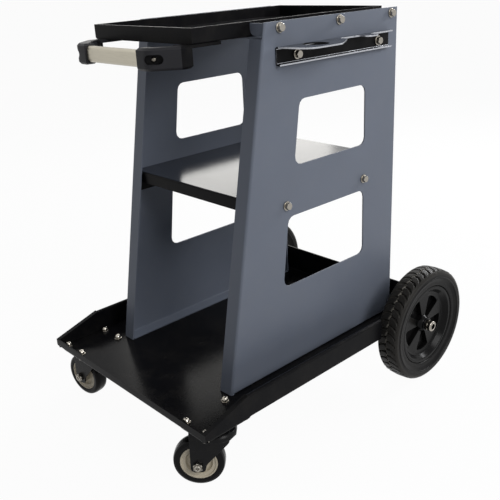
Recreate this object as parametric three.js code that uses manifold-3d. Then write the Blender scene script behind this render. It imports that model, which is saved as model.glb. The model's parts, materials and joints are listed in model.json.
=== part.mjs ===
// A welding cart of folded sheet steel: a base pan on two rear wheels and two swivel casters, two tapered
// side panels with windows, a middle shelf, a top tray with a push handle, and a torch holder on one side.
// Millimetres, +Z up, the front (casters and handle) towards -Y, the torch holder on the +X side.
import * as THREE from "three";
import { mergeVertices } from "three/addons/utils/BufferGeometryUtils.js";
import Module from "manifold-3d";

const wasm = await Module();
wasm.setup();

// Clearances
const SEAT_GAP = 0.25; // between two pieces that rest on each other
const RUN_GAP = 0.15; // radial, between a shaft and what turns on it
const HOLE_GAP = 0.4; // radial, between a fixing and its hole

// Sheet metal
const SHEET = 2;
const BEND_R = 3.5; // outer radius of a fold

// Rear wheels and axle
const REAR_WHEEL_D = 200;
const TYRE_W = 34;
const RIM_SEAT_D = 140;
const RIM_INSET = 2; // how far the rim edge lies inside the tyre's side
const HUB_DISC_INSET = 10; // how far the spoked disc lies inside the tyre's side
const HUB_DISC_T = 14;
const HUB_BOSS_D = 26;
const SPOKES = 5;
const SPOKE_POCKET_DEPTH = 9;
const SPOKE_POCKET_IN_R = 16;
const SPOKE_RIM_BAND = 18; // from the tyre seat in to the pockets
const BUSH_WALL = 3.2;
const AXLE_D = 12;
const AXLE_PROUD = 3; // axle end past its nut
const WASHER_T = 2;
const AXLE_WASHER_D = 24;
const AXLE_NUT_FLATS = 18;
const AXLE_NUT_T = 9;
const HUB_NOSE = 5; // hub boss end, inside the tyre's outer side
const HUB_REACH = 12; // hub boss past the tyre's inner side
const TREAD_GROOVE_W = 4;
const TREAD_DEPTH = 4;
const TREAD_NOTCHES = 12;
const TREAD_NOTCH_W = 7;
const TREAD_NOTCH_LEN = 11;
const TREAD_LEAN = 22; // degrees

// Base pan
const BASE_W = 396;
const BASE_L = 502;
const BASE_REAR_W = 339; // between the rear wheels
const WHEEL_CLEAR = 8; // from the base's rear corners to the tyres
const FRONT_LIP = 12; // above the floor
const RIM_H = 36; // side rim above the floor
const RIM_EDGE = 2; // outer wall's lower edge above the floor
const RIM_W = 8;
const RIM_SLOPE_L = 80; // sloping front end of a side rim
const REAR_WALL_H = 48;
const REAR_WALL_W = 306;
const REAR_WALL_CHAMFER = 10;
const AXLE_TO_REAR = 14.5;
const BRACKET_T = 3;
const BRACKET_L = 48; // axle brackets, along the cart
const BRACKET_FOOT = 26;
const BRACKET_EYE_R = 13;

// Casters
const CASTER_D = 76;
const CASTER_TREAD_W = 23;
const CASTER_CORE_D = 55;
const CASTER_CORE_W = 21;
const CASTER_BOSS_W = 28;
const CASTER_BOSS_D = 24;
const CASTER_WEB_T = 8;
const CASTER_TRAIL = 28;
const CASTER_INSET = 36.5; // swivel axis from the base's side
const PLATE_X = 62;
const PLATE_Y = 90;
const PLATE_T = 3;
const PLATE_BOLT_X = 42;
const PLATE_BOLT_Y = 72;
const PLATE_BOLT_D = 6;
const RACE_H = 6;
const RACE_D = 48;
const RACE_BORE = 22;
const FORK_T = 2.5;
const FORK_BEND_R = 6;
const FORK_SIDE_GAP = 1; // between the wheel boss and a fork leg
const FORK_CROWN_D = 59;
const FORK_CROWN_SKIRT = 12; // the crown's turned-down edge
const FORK_BACK = 20; // fork top behind the swivel axis
const FORK_FRONT = 38; // fork top ahead of the swivel axis
const FORK_EYE_R = 11;
const FORK_NECK_H = 18; // height of the deep part of the fork legs
const KINGPIN_D = 10;
const KINGPIN_HEAD_D = 18;
const KINGPIN_HEAD_H = 4;
const CASTER_AXLE_D = 8;
const CASTER_BUSH_WALL = 2;
const CASTER_HEAD_FLATS = 13;
const CASTER_HEAD_H = 5;
const CASTER_NUT_H = 6;
const CASTER_REST = { left: -81, right: -47 }; // degrees, how the casters happen to stand

// Side panels
const PANEL_GAUGE = 279; // over the outer faces
const PANEL_H = 517;
const PANEL_TOP_L = 287;
const PANEL_BOTTOM_L = 384;
const PANEL_FLANGE = 25;
const PANEL_TO_REAR_WALL = 18;
const WINDOW_R = 12;
const UPPER_WINDOW = { sill: 317, head: 410, rear: 78, topLength: 146, bottomLength: 160 };
const LOWER_WINDOW = { sill: 134, head: 243, rear: 80, topLength: 173, bottomLength: 188 };

// Middle shelf
const SHELF_H = 285; // top face above the floor
const SHELF_FRONT_LIP = 18;
const SHELF_SIDE_FLANGE = 36;
const SHELF_TO_FLANGE = 2;
const SHELF_TO_REAR = 6;

// Top tray and rails
const TRAY_WALL_H = 20;
const TRAY_OVERHANG = 98; // ahead of the side panels' top
const TRAY_TO_FLANGE = 3;
const TRAY_TO_REAR = 4;
const RAIL_WEB_H = 20;
const RAIL_LEG = 45;
const RAIL_EAR_H = 16;
const RAIL_EAR_R = 8;

// Handle
const HANDLE_REACH = 50; // ahead of the tray
const HANDLE_H = 28;
const HANDLE_ARM_T = 18;
const HANDLE_FRONT_HALF = 82; // half the width at the front bend
const HANDLE_SIDE_L = 14; // straight part beside the tray
const HANDLE_END_HALF = 61; // half the clear length of the grip
const HANDLE_EDGE_R = 3;
const HANDLE_TONGUE_L = 50;
const HANDLE_TONGUE_W = 24;
const HANDLE_TONGUE_T = 4;
const GRIP_H = 22;
const GRIP_D = 12;
const GRIP_WALL = 1.5;
const GRIP_SOCKET = 9;
const RECESS_W = 24;
const RECESS_H = 12;
const RECESS_DEPTH = 6;
const RECESS_SHARE = 0.8; // how far along the slanted face towards the front
const HANDLE_BOLT_D = 9;
const HANDLE_BOLT_H = 4;

// Torch holder
const TORCH_L = 243;
const TORCH_H = 25;
const TORCH_LIP = 8;
const TORCH_TOP_DROP = 32; // its top face below the panel's top
const TORCH_SETBACK = 18; // behind the panel's top front corner
const TORCH_REACH = 56;
const TORCH_TONGUE_L = 118;
const TORCH_HOLE_D = 37;
const TORCH_HOLE_SETBACK = 52; // hole centre behind the holder's front end
const TORCH_HOLE_OUT = 25;
const FINGER_START = 159;
const FINGER_L = 27;
const FINGER_REACH = 31;
const TORCH_LEDGE = 10;

// Panel bolts
const BOLT_D = 6;
const BOLT_FLATS = 10;
const BOLT_HEAD_H = 5;
const BOLT_WASHER_D = 14;
const BOLT_WASHER_T = 1.5;
const BOLT_LEN = 9; // under the head
const TOP_BOLT_DROP = 8;
const TOP_BOLTS = 3;
const TOP_BOLT_FRONT = 27; // first bolt behind the panel's top front corner
const TOP_BOLT_REAR = 18; // last bolt ahead of the panel's rear
const TORCH_BOLTS = 2;
const TORCH_BOLT_FRONT = 39; // from the holder's ends
const TORCH_BOLT_REAR = 27;
const TORCH_BOLT_DROP = 13;
const SHELF_BOLTS = 2;
const SHELF_BOLT_FRONT = 70; // from the shelf's front and rear
const SHELF_BOLT_REAR = 75;
const SHELF_BOLT_DROP = 23;

// Derived heights
const AXLE_Z = REAR_WHEEL_D / 2;
const AXLE_Y = 0;
const FLOOR_UNDER = AXLE_Z + AXLE_D / 2 + SEAT_GAP * 2;
const FLOOR_TOP = FLOOR_UNDER + SHEET;
const BASE_REAR = AXLE_Y + AXLE_TO_REAR;
const BASE_FRONT = BASE_REAR - BASE_L;
const CORNER_Y = AXLE_Y - REAR_WHEEL_D / 2 - WHEEL_CLEAR; // where the base narrows for the wheels
const PANEL_X = PANEL_GAUGE / 2;
const PANEL_IN = PANEL_X - SHEET;
const PANEL_BOTTOM = FLOOR_TOP + SEAT_GAP;
const PANEL_TOP = PANEL_BOTTOM + PANEL_H;
const PANEL_REAR = BASE_REAR - SHEET - PANEL_TO_REAR_WALL;
const PANEL_TOP_FRONT = PANEL_REAR - PANEL_TOP_L;
const PANEL_BOTTOM_FRONT = PANEL_REAR - PANEL_BOTTOM_L;
const SHELF_TOP = FLOOR_TOP + SHELF_H;
const RAIL_TOP = PANEL_TOP - 1;
const RAIL_BOTTOM = RAIL_TOP - RAIL_WEB_H;
const FLANGE_TOP = RAIL_BOTTOM - SEAT_GAP;
const TRAY_BOTTOM = RAIL_BOTTOM + SHEET + SEAT_GAP;
const TRAY_X = PANEL_X - PANEL_FLANGE - TRAY_TO_FLANGE;
const TRAY_FRONT = PANEL_TOP_FRONT - TRAY_OVERHANG;
const TRAY_REAR = PANEL_REAR - TRAY_TO_REAR;
const CASTER_X = BASE_W / 2 - CASTER_INSET;
const CASTER_Y = BASE_FRONT + BEND_R + SEAT_GAP + PLATE_Y / 2;

// A geometry as a closed solid, with its shared vertices merged and its faces turned outwards
function solid(geometry) {
  const bare = geometry.clone();
  bare.deleteAttribute("normal");
  bare.deleteAttribute("uv");
  const merged = mergeVertices(bare, 1e-4);
  const vertProperties = new Float32Array(merged.attributes.position.array);
  const triangles = [];
  let volume = 0;
  const a = new THREE.Vector3();
  const b = new THREE.Vector3();
  const c = new THREE.Vector3();
  for (let i = 0; i < merged.index.count; i += 3) {
    const [p, q, r] = [0, 1, 2].map((k) => merged.index.getX(i + k));
    if (p === q || q === r || p === r) continue;
    a.fromArray(vertProperties, 3 * p);
    b.fromArray(vertProperties, 3 * q);
    c.fromArray(vertProperties, 3 * r);
    volume += a.dot(b.cross(c));
    triangles.push([p, q, r]);
  }
  const triVerts = new Uint32Array(triangles.flatMap(([p, q, r]) => (volume < 0 ? [p, r, q] : [p, q, r])));
  return new wasm.Manifold(new wasm.Mesh({ numProp: 3, vertProperties, triVerts }));
}

// A solid back as a geometry with flat faces
function geometryOf(body) {
  const mesh = body.getMesh();
  const geometry = new THREE.BufferGeometry();
  geometry.setAttribute("position", new THREE.BufferAttribute(new Float32Array(mesh.vertProperties), 3));
  geometry.setIndex(new THREE.BufferAttribute(new Uint32Array(mesh.triVerts), 1));
  const flat = geometry.toNonIndexed();
  flat.computeVertexNormals();
  return flat;
}

const join = (...bodies) => bodies.reduce((sum, body) => sum.add(body));
const cut = (body, ...tools) => tools.reduce((rest, tool) => rest.subtract(tool), body);
const radians = THREE.MathUtils.degToRad;

// The corner radius of a polygon whose flats lie at the given radius
const overFlats = (radius, sides) => radius / Math.cos(Math.PI / sides);

function block(x0, x1, y0, y1, z0, z1) {
  const geometry = new THREE.BoxGeometry(x1 - x0, y1 - y0, z1 - z0);
  geometry.translate((x0 + x1) / 2, (y0 + y1) / 2, (z0 + z1) / 2);
  return solid(geometry);
}

// A closed outline with rounded corners; each point is [a, b] or [a, b, radius]
function roundedOutline(points, steps = 3) {
  const outline = [];
  points.forEach(([x, y, radius = 0], i) => {
    const corner = new THREE.Vector2(x, y);
    const before = points[(i + points.length - 1) % points.length];
    const after = points[(i + 1) % points.length];
    const back = new THREE.Vector2(before[0], before[1]).sub(corner);
    const ahead = new THREE.Vector2(after[0], after[1]).sub(corner);
    const half = Math.acos(back.clone().normalize().dot(ahead.clone().normalize())) / 2;
    const reach = Math.min(radius / Math.tan(half), back.length() / 2, ahead.length() / 2);
    if (reach < 0.01) {
      outline.push(corner);
      return;
    }
    const from = corner.clone().addScaledVector(back.normalize(), reach);
    const to = corner.clone().addScaledVector(ahead.normalize(), reach);
    const bisector = back.clone().add(ahead).normalize();
    const centre = corner.clone().addScaledVector(bisector, reach / Math.cos(half));
    const start = from.clone().sub(centre);
    const turn = Math.atan2(start.cross(to.clone().sub(centre)), start.dot(to.clone().sub(centre)));
    for (let k = 0; k <= steps; k++) {
      outline.push(start.clone().rotateAround(new THREE.Vector2(), (turn * k) / steps).add(centre));
    }
  });
  return outline;
}

const outlineShape = (points, steps) => new THREE.Shape(roundedOutline(points, steps));

function extrudeAlong(shape, length, basis, origin, extra = {}) {
  const geometry = new THREE.ExtrudeGeometry(shape, { depth: length, bevelEnabled: false, curveSegments: 6, ...extra });
  geometry.applyMatrix4(new THREE.Matrix4().makeBasis(...basis).setPosition(...origin));
  return solid(geometry);
}

const X_AXIS = new THREE.Vector3(1, 0, 0);
const Y_AXIS = new THREE.Vector3(0, 1, 0);
const Z_AXIS = new THREE.Vector3(0, 0, 1);

// A shape drawn in (Y, Z), (X, Z) or (X, Y), run along the remaining axis
const alongX = (shape, x0, x1) => extrudeAlong(shape, x1 - x0, [Y_AXIS, Z_AXIS, X_AXIS], [x0, 0, 0]);
const alongY = (shape, y0, y1) =>
  extrudeAlong(shape, y1 - y0, [X_AXIS, Z_AXIS, Y_AXIS.clone().negate()], [0, y1, 0]);
const alongZ = (shape, z0, z1, extra) =>
  extrudeAlong(shape, z1 - z0, [X_AXIS, Y_AXIS, Z_AXIS], [0, 0, z0], extra);

// A round bar between two points along X or Z, with a flat at the bottom or at the front
function barX(radius, x0, x1, y, z, sides = 24) {
  const geometry = new THREE.CylinderGeometry(radius, radius, x1 - x0, sides, 1, false, Math.PI / sides);
  geometry.rotateZ(-Math.PI / 2);
  geometry.translate((x0 + x1) / 2, y, z);
  return solid(geometry);
}

function barZ(radius, z0, z1, x, y, sides = 24) {
  const geometry = new THREE.CylinderGeometry(radius, radius, z1 - z0, sides, 1, false, Math.PI / sides);
  geometry.rotateX(Math.PI / 2);
  geometry.translate(x, y, (z0 + z1) / 2);
  return solid(geometry);
}

// A closed profile of [along, radius] points turned about X or Z
function ringX(profile, sides) {
  const closed = [...profile, profile[0]].map(([x, r]) => new THREE.Vector2(r, x));
  const geometry = new THREE.LatheGeometry(closed, sides, Math.PI / sides);
  geometry.rotateZ(-Math.PI / 2);
  return solid(geometry);
}

function ringZ(profile, sides) {
  const closed = [...profile, profile[0]].map(([z, r]) => new THREE.Vector2(r, z));
  const geometry = new THREE.LatheGeometry(closed, sides, Math.PI / sides);
  geometry.rotateX(Math.PI / 2);
  return solid(geometry);
}

// A plain ring about the X axis, with its bore over the flats
function collarX(boreR, outerR, x0, x1, sides = 24) {
  const bore = overFlats(boreR, sides);
  return ringX([[x0, bore], [x0, outerR], [x1, outerR], [x1, bore]], sides);
}

// The strip along a folded edge: it laps the plate, bends round and stands up as a flange.
// It starts at origin; inward points into the plate, across the way the flange goes.
function foldedEdge(origin, inward, across, length, flange, thickness = SHEET, bend = BEND_R) {
  const inner = bend - thickness;
  const lap = bend + 2;
  const section = new THREE.Shape();
  section.moveTo(lap, 0);
  section.lineTo(bend, 0);
  section.absarc(bend, bend, bend, -Math.PI / 2, -Math.PI, true);
  section.lineTo(0, flange);
  section.lineTo(thickness, flange);
  section.lineTo(thickness, bend);
  section.absarc(bend, bend, inner, Math.PI, 1.5 * Math.PI, false);
  section.lineTo(lap, thickness);
  section.closePath();
  const along = inward.clone().cross(across);
  return extrudeAlong(section, length, [inward, across, along], origin, { curveSegments: 2 });
}

function mirrored(geometry) {
  const other = geometry.clone().scale(-1, 1, 1);
  const position = other.getAttribute("position");
  for (let i = 0; i < position.count; i += 3) {
    const [x, y, z] = [position.getX(i + 1), position.getY(i + 1), position.getZ(i + 1)];
    position.setXYZ(i + 1, position.getX(i + 2), position.getY(i + 2), position.getZ(i + 2));
    position.setXYZ(i + 2, x, y, z);
  }
  other.computeVertexNormals();
  return other;
}

// Materials
const paint = (color, roughness, metalness) => () =>
  new THREE.MeshStandardMaterial({ color, roughness, metalness });
const greyPaint = paint(0x676d78, 0.45, 0.3);
const blackPaint = paint(0x17171a, 0.3, 0.3);
const zincSteel = paint(0xc3bba8, 0.35, 0.9);
const blackSteel = paint(0x1d1d20, 0.4, 0.6);
const tyreRubber = paint(0x2a2a2c, 0.85, 0);
const hubPlastic = paint(0x222225, 0.45, 0);
const handlePlastic = paint(0x303033, 0.55, 0);
const ivoryPlastic = paint(0xbcb4a0, 0.5, 0);
const paleMetal = paint(0xb4ae9e, 0.4, 0.7);

const cart = new THREE.Group();

function add(name, geometry, material, parent = cart) {
  const mesh = new THREE.Mesh(geometry, material());
  mesh.name = name;
  parent.add(mesh);
  return mesh;
}

function addBody(name, body, material, parent = cart) {
  return add(name, geometryOf(body), material, parent);
}

// The same piece on both sides; the right one is modelled
function addPair(name, body, material) {
  const geometry = geometryOf(body);
  add("right_" + name, geometry, material);
  add("left_" + name, mirrored(geometry), material);
}

// Panel edges: the front edge leans back towards the top
const panelFrontAt = (z) =>
  PANEL_BOTTOM_FRONT + ((z - PANEL_BOTTOM) / PANEL_H) * (PANEL_TOP_FRONT - PANEL_BOTTOM_FRONT);
const SHELF_FRONT = panelFrontAt(SHELF_TOP) + SHEET + SHELF_TO_FLANGE;
const SHELF_REAR = PANEL_REAR - SHELF_TO_REAR;
const TORCH_FRONT = PANEL_TOP_FRONT + TORCH_SETBACK;
const TORCH_REAR = TORCH_FRONT + TORCH_L;
const TORCH_TOP = PANEL_TOP - TORCH_TOP_DROP;


// A row of bolts between two ends, evenly spaced, at one height
function boltRow(count, front, rear, z) {
  return Array.from({ length: count }, (_, i) => [front + ((rear - front) * i) / (count - 1), z]);
}

const topBolts = boltRow(TOP_BOLTS, PANEL_TOP_FRONT + TOP_BOLT_FRONT, PANEL_REAR - TOP_BOLT_REAR,
  PANEL_TOP - TOP_BOLT_DROP);
const torchBolts = boltRow(TORCH_BOLTS, TORCH_FRONT + TORCH_BOLT_FRONT, TORCH_REAR - TORCH_BOLT_REAR,
  TORCH_TOP - TORCH_BOLT_DROP);
const shelfBolts = boltRow(SHELF_BOLTS, SHELF_FRONT + SHELF_BOLT_FRONT, SHELF_REAR - SHELF_BOLT_REAR,
  SHELF_TOP - SHELF_BOLT_DROP);
const boltHole = (x0, x1, [y, z]) => barX(overFlats(BOLT_D / 2 + HOLE_GAP, 8), x0, x1, y, z, 8);

// Base pan: floor with a low front lip and a rear wall folded up, side rims folded up, over and down,
// and rear corners cut away for the wheels
function sideRim() {
  const top = FLOOR_TOP + RIM_H;
  const low = FLOOR_TOP + RIM_EDGE;
  const out = BASE_W / 2;
  const inside = out - RIM_W;
  const section = outlineShape([
    [inside, FLOOR_UNDER],
    [inside, top, BEND_R],
    [out, top, BEND_R],
    [out, low],
    [out - SHEET, low],
    [out - SHEET, top - SHEET, BEND_R - SHEET],
    [inside + SHEET, top - SHEET, BEND_R - SHEET],
    [inside + SHEET, FLOOR_UNDER],
  ], 2);
  const slopeFoot = FLOOR_TOP + FRONT_LIP;
  const slopeEnd = BASE_FRONT + RIM_SLOPE_L;
  const above = new THREE.Shape([
    new THREE.Vector2(BASE_FRONT - 1, slopeFoot),
    new THREE.Vector2(BASE_FRONT, slopeFoot),
    new THREE.Vector2(slopeEnd, top),
    new THREE.Vector2(slopeEnd, top + 1),
    new THREE.Vector2(BASE_FRONT - 1, top + 1),
  ]);
  const cover = new THREE.Shape([
    new THREE.Vector2(BASE_FRONT, slopeFoot - SHEET),
    new THREE.Vector2(slopeEnd + SHEET, top - SHEET),
    new THREE.Vector2(slopeEnd, top),
    new THREE.Vector2(BASE_FRONT, slopeFoot),
  ]);
  const straight = cut(alongY(section, BASE_FRONT, CORNER_Y), alongX(above, inside - 1, out + 1));
  return join(straight, alongX(cover, inside, out));
}

function casterBoltHoles() {
  const holes = [];
  for (const side of [-1, 1]) {
    for (const dx of [-PLATE_BOLT_X / 2, PLATE_BOLT_X / 2]) {
      for (const dy of [-PLATE_BOLT_Y / 2, PLATE_BOLT_Y / 2]) {
        const radius = overFlats(PLATE_BOLT_D / 2 + HOLE_GAP, 8);
        holes.push(barZ(radius, FLOOR_UNDER - 1, FLOOR_TOP + 1, side * CASTER_X + dx, CASTER_Y + dy, 8));
      }
    }
  }
  return holes;
}

function basePan() {
  const half = BASE_W / 2;
  const inside = half - RIM_W + SHEET;
  const rearHalf = BASE_REAR_W / 2;
  const front = foldedEdge([-half, BASE_FRONT, FLOOR_UNDER], Y_AXIS, Z_AXIS, BASE_W, FRONT_LIP + SHEET);
  const floor = block(-inside, inside, BASE_FRONT + BEND_R, CORNER_Y, FLOOR_UNDER, FLOOR_TOP);
  const rearFloor = block(-rearHalf, rearHalf, CORNER_Y - 1, BASE_REAR - BEND_R, FLOOR_UNDER, FLOOR_TOP);
  const rearEnds = [-1, 1].map((side) => {
    const x = (side * (rearHalf + REAR_WALL_W / 2)) / 2;
    const reach = (rearHalf - REAR_WALL_W / 2) / 2;
    return block(x - reach, x + reach, BASE_REAR - BEND_R - 1, BASE_REAR, FLOOR_UNDER, FLOOR_TOP);
  });
  const wallTop = FLOOR_TOP + REAR_WALL_H;
  const wallHalf = REAR_WALL_W / 2;
  const wall = foldedEdge([wallHalf, BASE_REAR, FLOOR_UNDER], Y_AXIS.clone().negate(), Z_AXIS, REAR_WALL_W,
    REAR_WALL_H + SHEET);
  const corners = [-1, 1].map((side) => {
    const chamfer = new THREE.Shape([
      new THREE.Vector2(side * (wallHalf - REAR_WALL_CHAMFER), wallTop + 1),
      new THREE.Vector2(side * (wallHalf - REAR_WALL_CHAMFER), wallTop),
      new THREE.Vector2(side * wallHalf, wallTop - REAR_WALL_CHAMFER),
      new THREE.Vector2(side * (wallHalf + 1), wallTop - REAR_WALL_CHAMFER),
      new THREE.Vector2(side * (wallHalf + 1), wallTop + 1),
    ]);
    return alongY(chamfer, BASE_REAR - SHEET - 1, BASE_REAR + 1);
  });
  const rim = sideRim();
  const otherRim = solid(mirrored(geometryOf(rim)));
  const pan = join(floor, rearFloor, front, cut(wall, ...corners), ...rearEnds, rim, otherRim);
  return cut(pan, ...casterBoltHoles());
}

// Side panels: a plate with two windows, folded inwards at the front, rear and bottom
function windowOutline({ sill, head, rear, topLength, bottomLength }) {
  const rearY = PANEL_REAR - rear;
  return new THREE.Path(roundedOutline([
    [rearY - bottomLength, PANEL_BOTTOM + sill, WINDOW_R],
    [rearY, PANEL_BOTTOM + sill, WINDOW_R],
    [rearY, PANEL_BOTTOM + head, WINDOW_R],
    [rearY - topLength, PANEL_BOTTOM + head, WINDOW_R],
  ]));
}

function sidePanel(bolts) {
  const lean = new THREE.Vector3(0, PANEL_TOP_FRONT - PANEL_BOTTOM_FRONT, PANEL_H);
  const frontLength = lean.length();
  const frontDir = lean.clone().normalize();
  const inset = BEND_R / frontDir.z;
  const plate = outlineShape([
    [PANEL_BOTTOM_FRONT + inset, PANEL_BOTTOM + BEND_R],
    [PANEL_REAR - BEND_R, PANEL_BOTTOM + BEND_R],
    [PANEL_REAR - BEND_R, PANEL_TOP],
    [PANEL_TOP_FRONT + inset, PANEL_TOP],
  ]);
  plate.holes.push(windowOutline(UPPER_WINDOW), windowOutline(LOWER_WINDOW));
  const inwards = X_AXIS.clone().negate();
  const frontIn = inwards.clone().cross(frontDir);
  const start = new THREE.Vector3(PANEL_X, PANEL_BOTTOM_FRONT, PANEL_BOTTOM).addScaledVector(frontDir, -PANEL_FLANGE);
  const front = foldedEdge(start.toArray(), frontIn, inwards, frontLength + 2 * PANEL_FLANGE, PANEL_FLANGE);
  const rear = foldedEdge([PANEL_X, PANEL_REAR, PANEL_TOP], Y_AXIS.clone().negate(), inwards, PANEL_H, PANEL_FLANGE);
  const foot = foldedEdge([PANEL_X, PANEL_REAR, PANEL_BOTTOM], Z_AXIS, inwards, PANEL_BOTTOM_L - BEND_R, PANEL_FLANGE);
  const far = PANEL_X + 1;
  const near = PANEL_X - PANEL_FLANGE - 1;
  const past = 2 * PANEL_FLANGE;
  const ends = [
    block(near, far, PANEL_BOTTOM_FRONT - past, PANEL_REAR, PANEL_BOTTOM - past, PANEL_BOTTOM),
    block(near, far, PANEL_TOP_FRONT - past, PANEL_REAR, PANEL_TOP, PANEL_TOP + past),
    block(near, PANEL_IN, PANEL_TOP_FRONT - past, PANEL_REAR + 1, FLANGE_TOP, PANEL_TOP + past),
  ];
  const holes = bolts.map((at) => boltHole(PANEL_X - PANEL_FLANGE, PANEL_X + 1, at));
  return cut(join(alongX(plate, PANEL_IN, PANEL_X), front, rear, foot), ...ends, ...holes);
}

// A channel section in two directions: across and up, open towards up
function channelOutline(left, right, base, edge) {
  const up = Math.sign(edge - base);
  const inner = base + up * SHEET;
  return outlineShape([
    [left, base, BEND_R],
    [right, base, BEND_R],
    [right, edge],
    [right - SHEET, edge],
    [right - SHEET, inner, BEND_R - SHEET],
    [left + SHEET, inner, BEND_R - SHEET],
    [left + SHEET, edge],
    [left, edge],
  ], 3);
}

// Middle shelf: a plate with its front and rear folded down, and deeper flanges at the sides
function middleShelf() {
  const half = PANEL_IN - SEAT_GAP;
  const section = channelOutline(SHELF_FRONT, SHELF_REAR, SHELF_TOP, SHELF_TOP - SHELF_FRONT_LIP);
  const plate = alongX(section, -half, half);
  const low = SHELF_TOP - SHELF_SIDE_FLANGE;
  const sides = [-1, 1].map((side) => {
    const x = side * (half - SHEET / 2);
    return block(x - SHEET / 2, x + SHEET / 2, SHELF_FRONT + BEND_R, SHELF_REAR - BEND_R, low, SHELF_TOP - SHEET / 2);
  });
  const holes = shelfBolts.map((at) => boltHole(-half - 1, half + 1, at));
  return cut(join(plate, ...sides), ...holes);
}

// Top tray: a plate with its long sides folded up, and a wall across each end
function topTray() {
  const top = TRAY_BOTTOM + TRAY_WALL_H;
  const section = channelOutline(-TRAY_X, TRAY_X, TRAY_BOTTOM, top);
  const half = TRAY_X - SHEET / 2;
  const low = TRAY_BOTTOM + SHEET / 2;
  const front = block(-half, half, TRAY_FRONT, TRAY_FRONT + SHEET, low, top);
  const rear = block(-half, half, TRAY_REAR - SHEET, TRAY_REAR, low, top);
  return join(alongY(section, TRAY_FRONT, TRAY_REAR), front, rear);
}

// Top rail: an angle bolted inside a side panel; its leg carries the tray, and an ear closes its front end
function topRail() {
  const web = PANEL_IN - SEAT_GAP;
  const front = PANEL_TOP_FRONT;
  const length = TRAY_REAR - front;
  const angle = foldedEdge([web, front, RAIL_BOTTOM], X_AXIS.clone().negate(), Z_AXIS, length, RAIL_WEB_H);
  const leg = block(web - RAIL_LEG, web - BEND_R, front, TRAY_REAR, RAIL_BOTTOM, RAIL_BOTTOM + SHEET);
  const earIn = TRAY_X + SEAT_GAP;
  const ear = outlineShape([
    [earIn, RAIL_TOP - RAIL_EAR_H, RAIL_EAR_R],
    [web, RAIL_TOP - RAIL_EAR_H],
    [web, RAIL_TOP],
    [earIn, RAIL_TOP],
  ]);
  const holes = topBolts.map((at) => boltHole(web - BEND_R - SHEET, web + 1, at));
  return cut(join(angle, leg, alongY(ear, front, front + SHEET)), ...holes);
}

// Handle bracket: a moulded arm that leaves the tray's corner, turns inwards and holds one end of the grip
const HANDLE_TOP = TRAY_BOTTOM - SEAT_GAP;
const HANDLE_MID = HANDLE_TOP - HANDLE_H / 2;
const HANDLE_REAR = TRAY_FRONT - SEAT_GAP;
const HANDLE_FRONT = HANDLE_REAR - HANDLE_REACH;
const GRIP_Y = HANDLE_FRONT + HANDLE_ARM_T / 2;
const ARM_SLANT = new THREE.Vector2(HANDLE_FRONT_HALF - TRAY_X, HANDLE_FRONT + HANDLE_SIDE_L - HANDLE_REAR);
const ARM_OUT = new THREE.Vector2(-ARM_SLANT.y, ARM_SLANT.x).normalize();
const RECESS_AT = new THREE.Vector2(
  TRAY_X + ARM_SLANT.x * RECESS_SHARE,
  HANDLE_REAR - HANDLE_SIDE_L + ARM_SLANT.y * RECESS_SHARE,
);

const gripOutline = (gap) => [
  [GRIP_Y - GRIP_D / 2 - gap, HANDLE_MID - GRIP_H / 2 - gap, GRIP_D / 2],
  [GRIP_Y + GRIP_D / 2 + gap, HANDLE_MID - GRIP_H / 2 - gap, GRIP_D / 2],
  [GRIP_Y + GRIP_D / 2 + gap, HANDLE_MID + GRIP_H / 2 + gap, GRIP_D / 2],
  [GRIP_Y - GRIP_D / 2 - gap, HANDLE_MID + GRIP_H / 2 + gap, GRIP_D / 2],
];

// A frame on the slanted face of the arm: level along it, up, and out of it
function slantBasis() {
  const out = new THREE.Vector3(ARM_OUT.x, ARM_OUT.y, 0);
  return [Z_AXIS.clone().cross(out), Z_AXIS, out];
}

function slantOrigin(depth) {
  return [RECESS_AT.x - ARM_OUT.x * depth, RECESS_AT.y - ARM_OUT.y * depth, HANDLE_MID];
}

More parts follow.
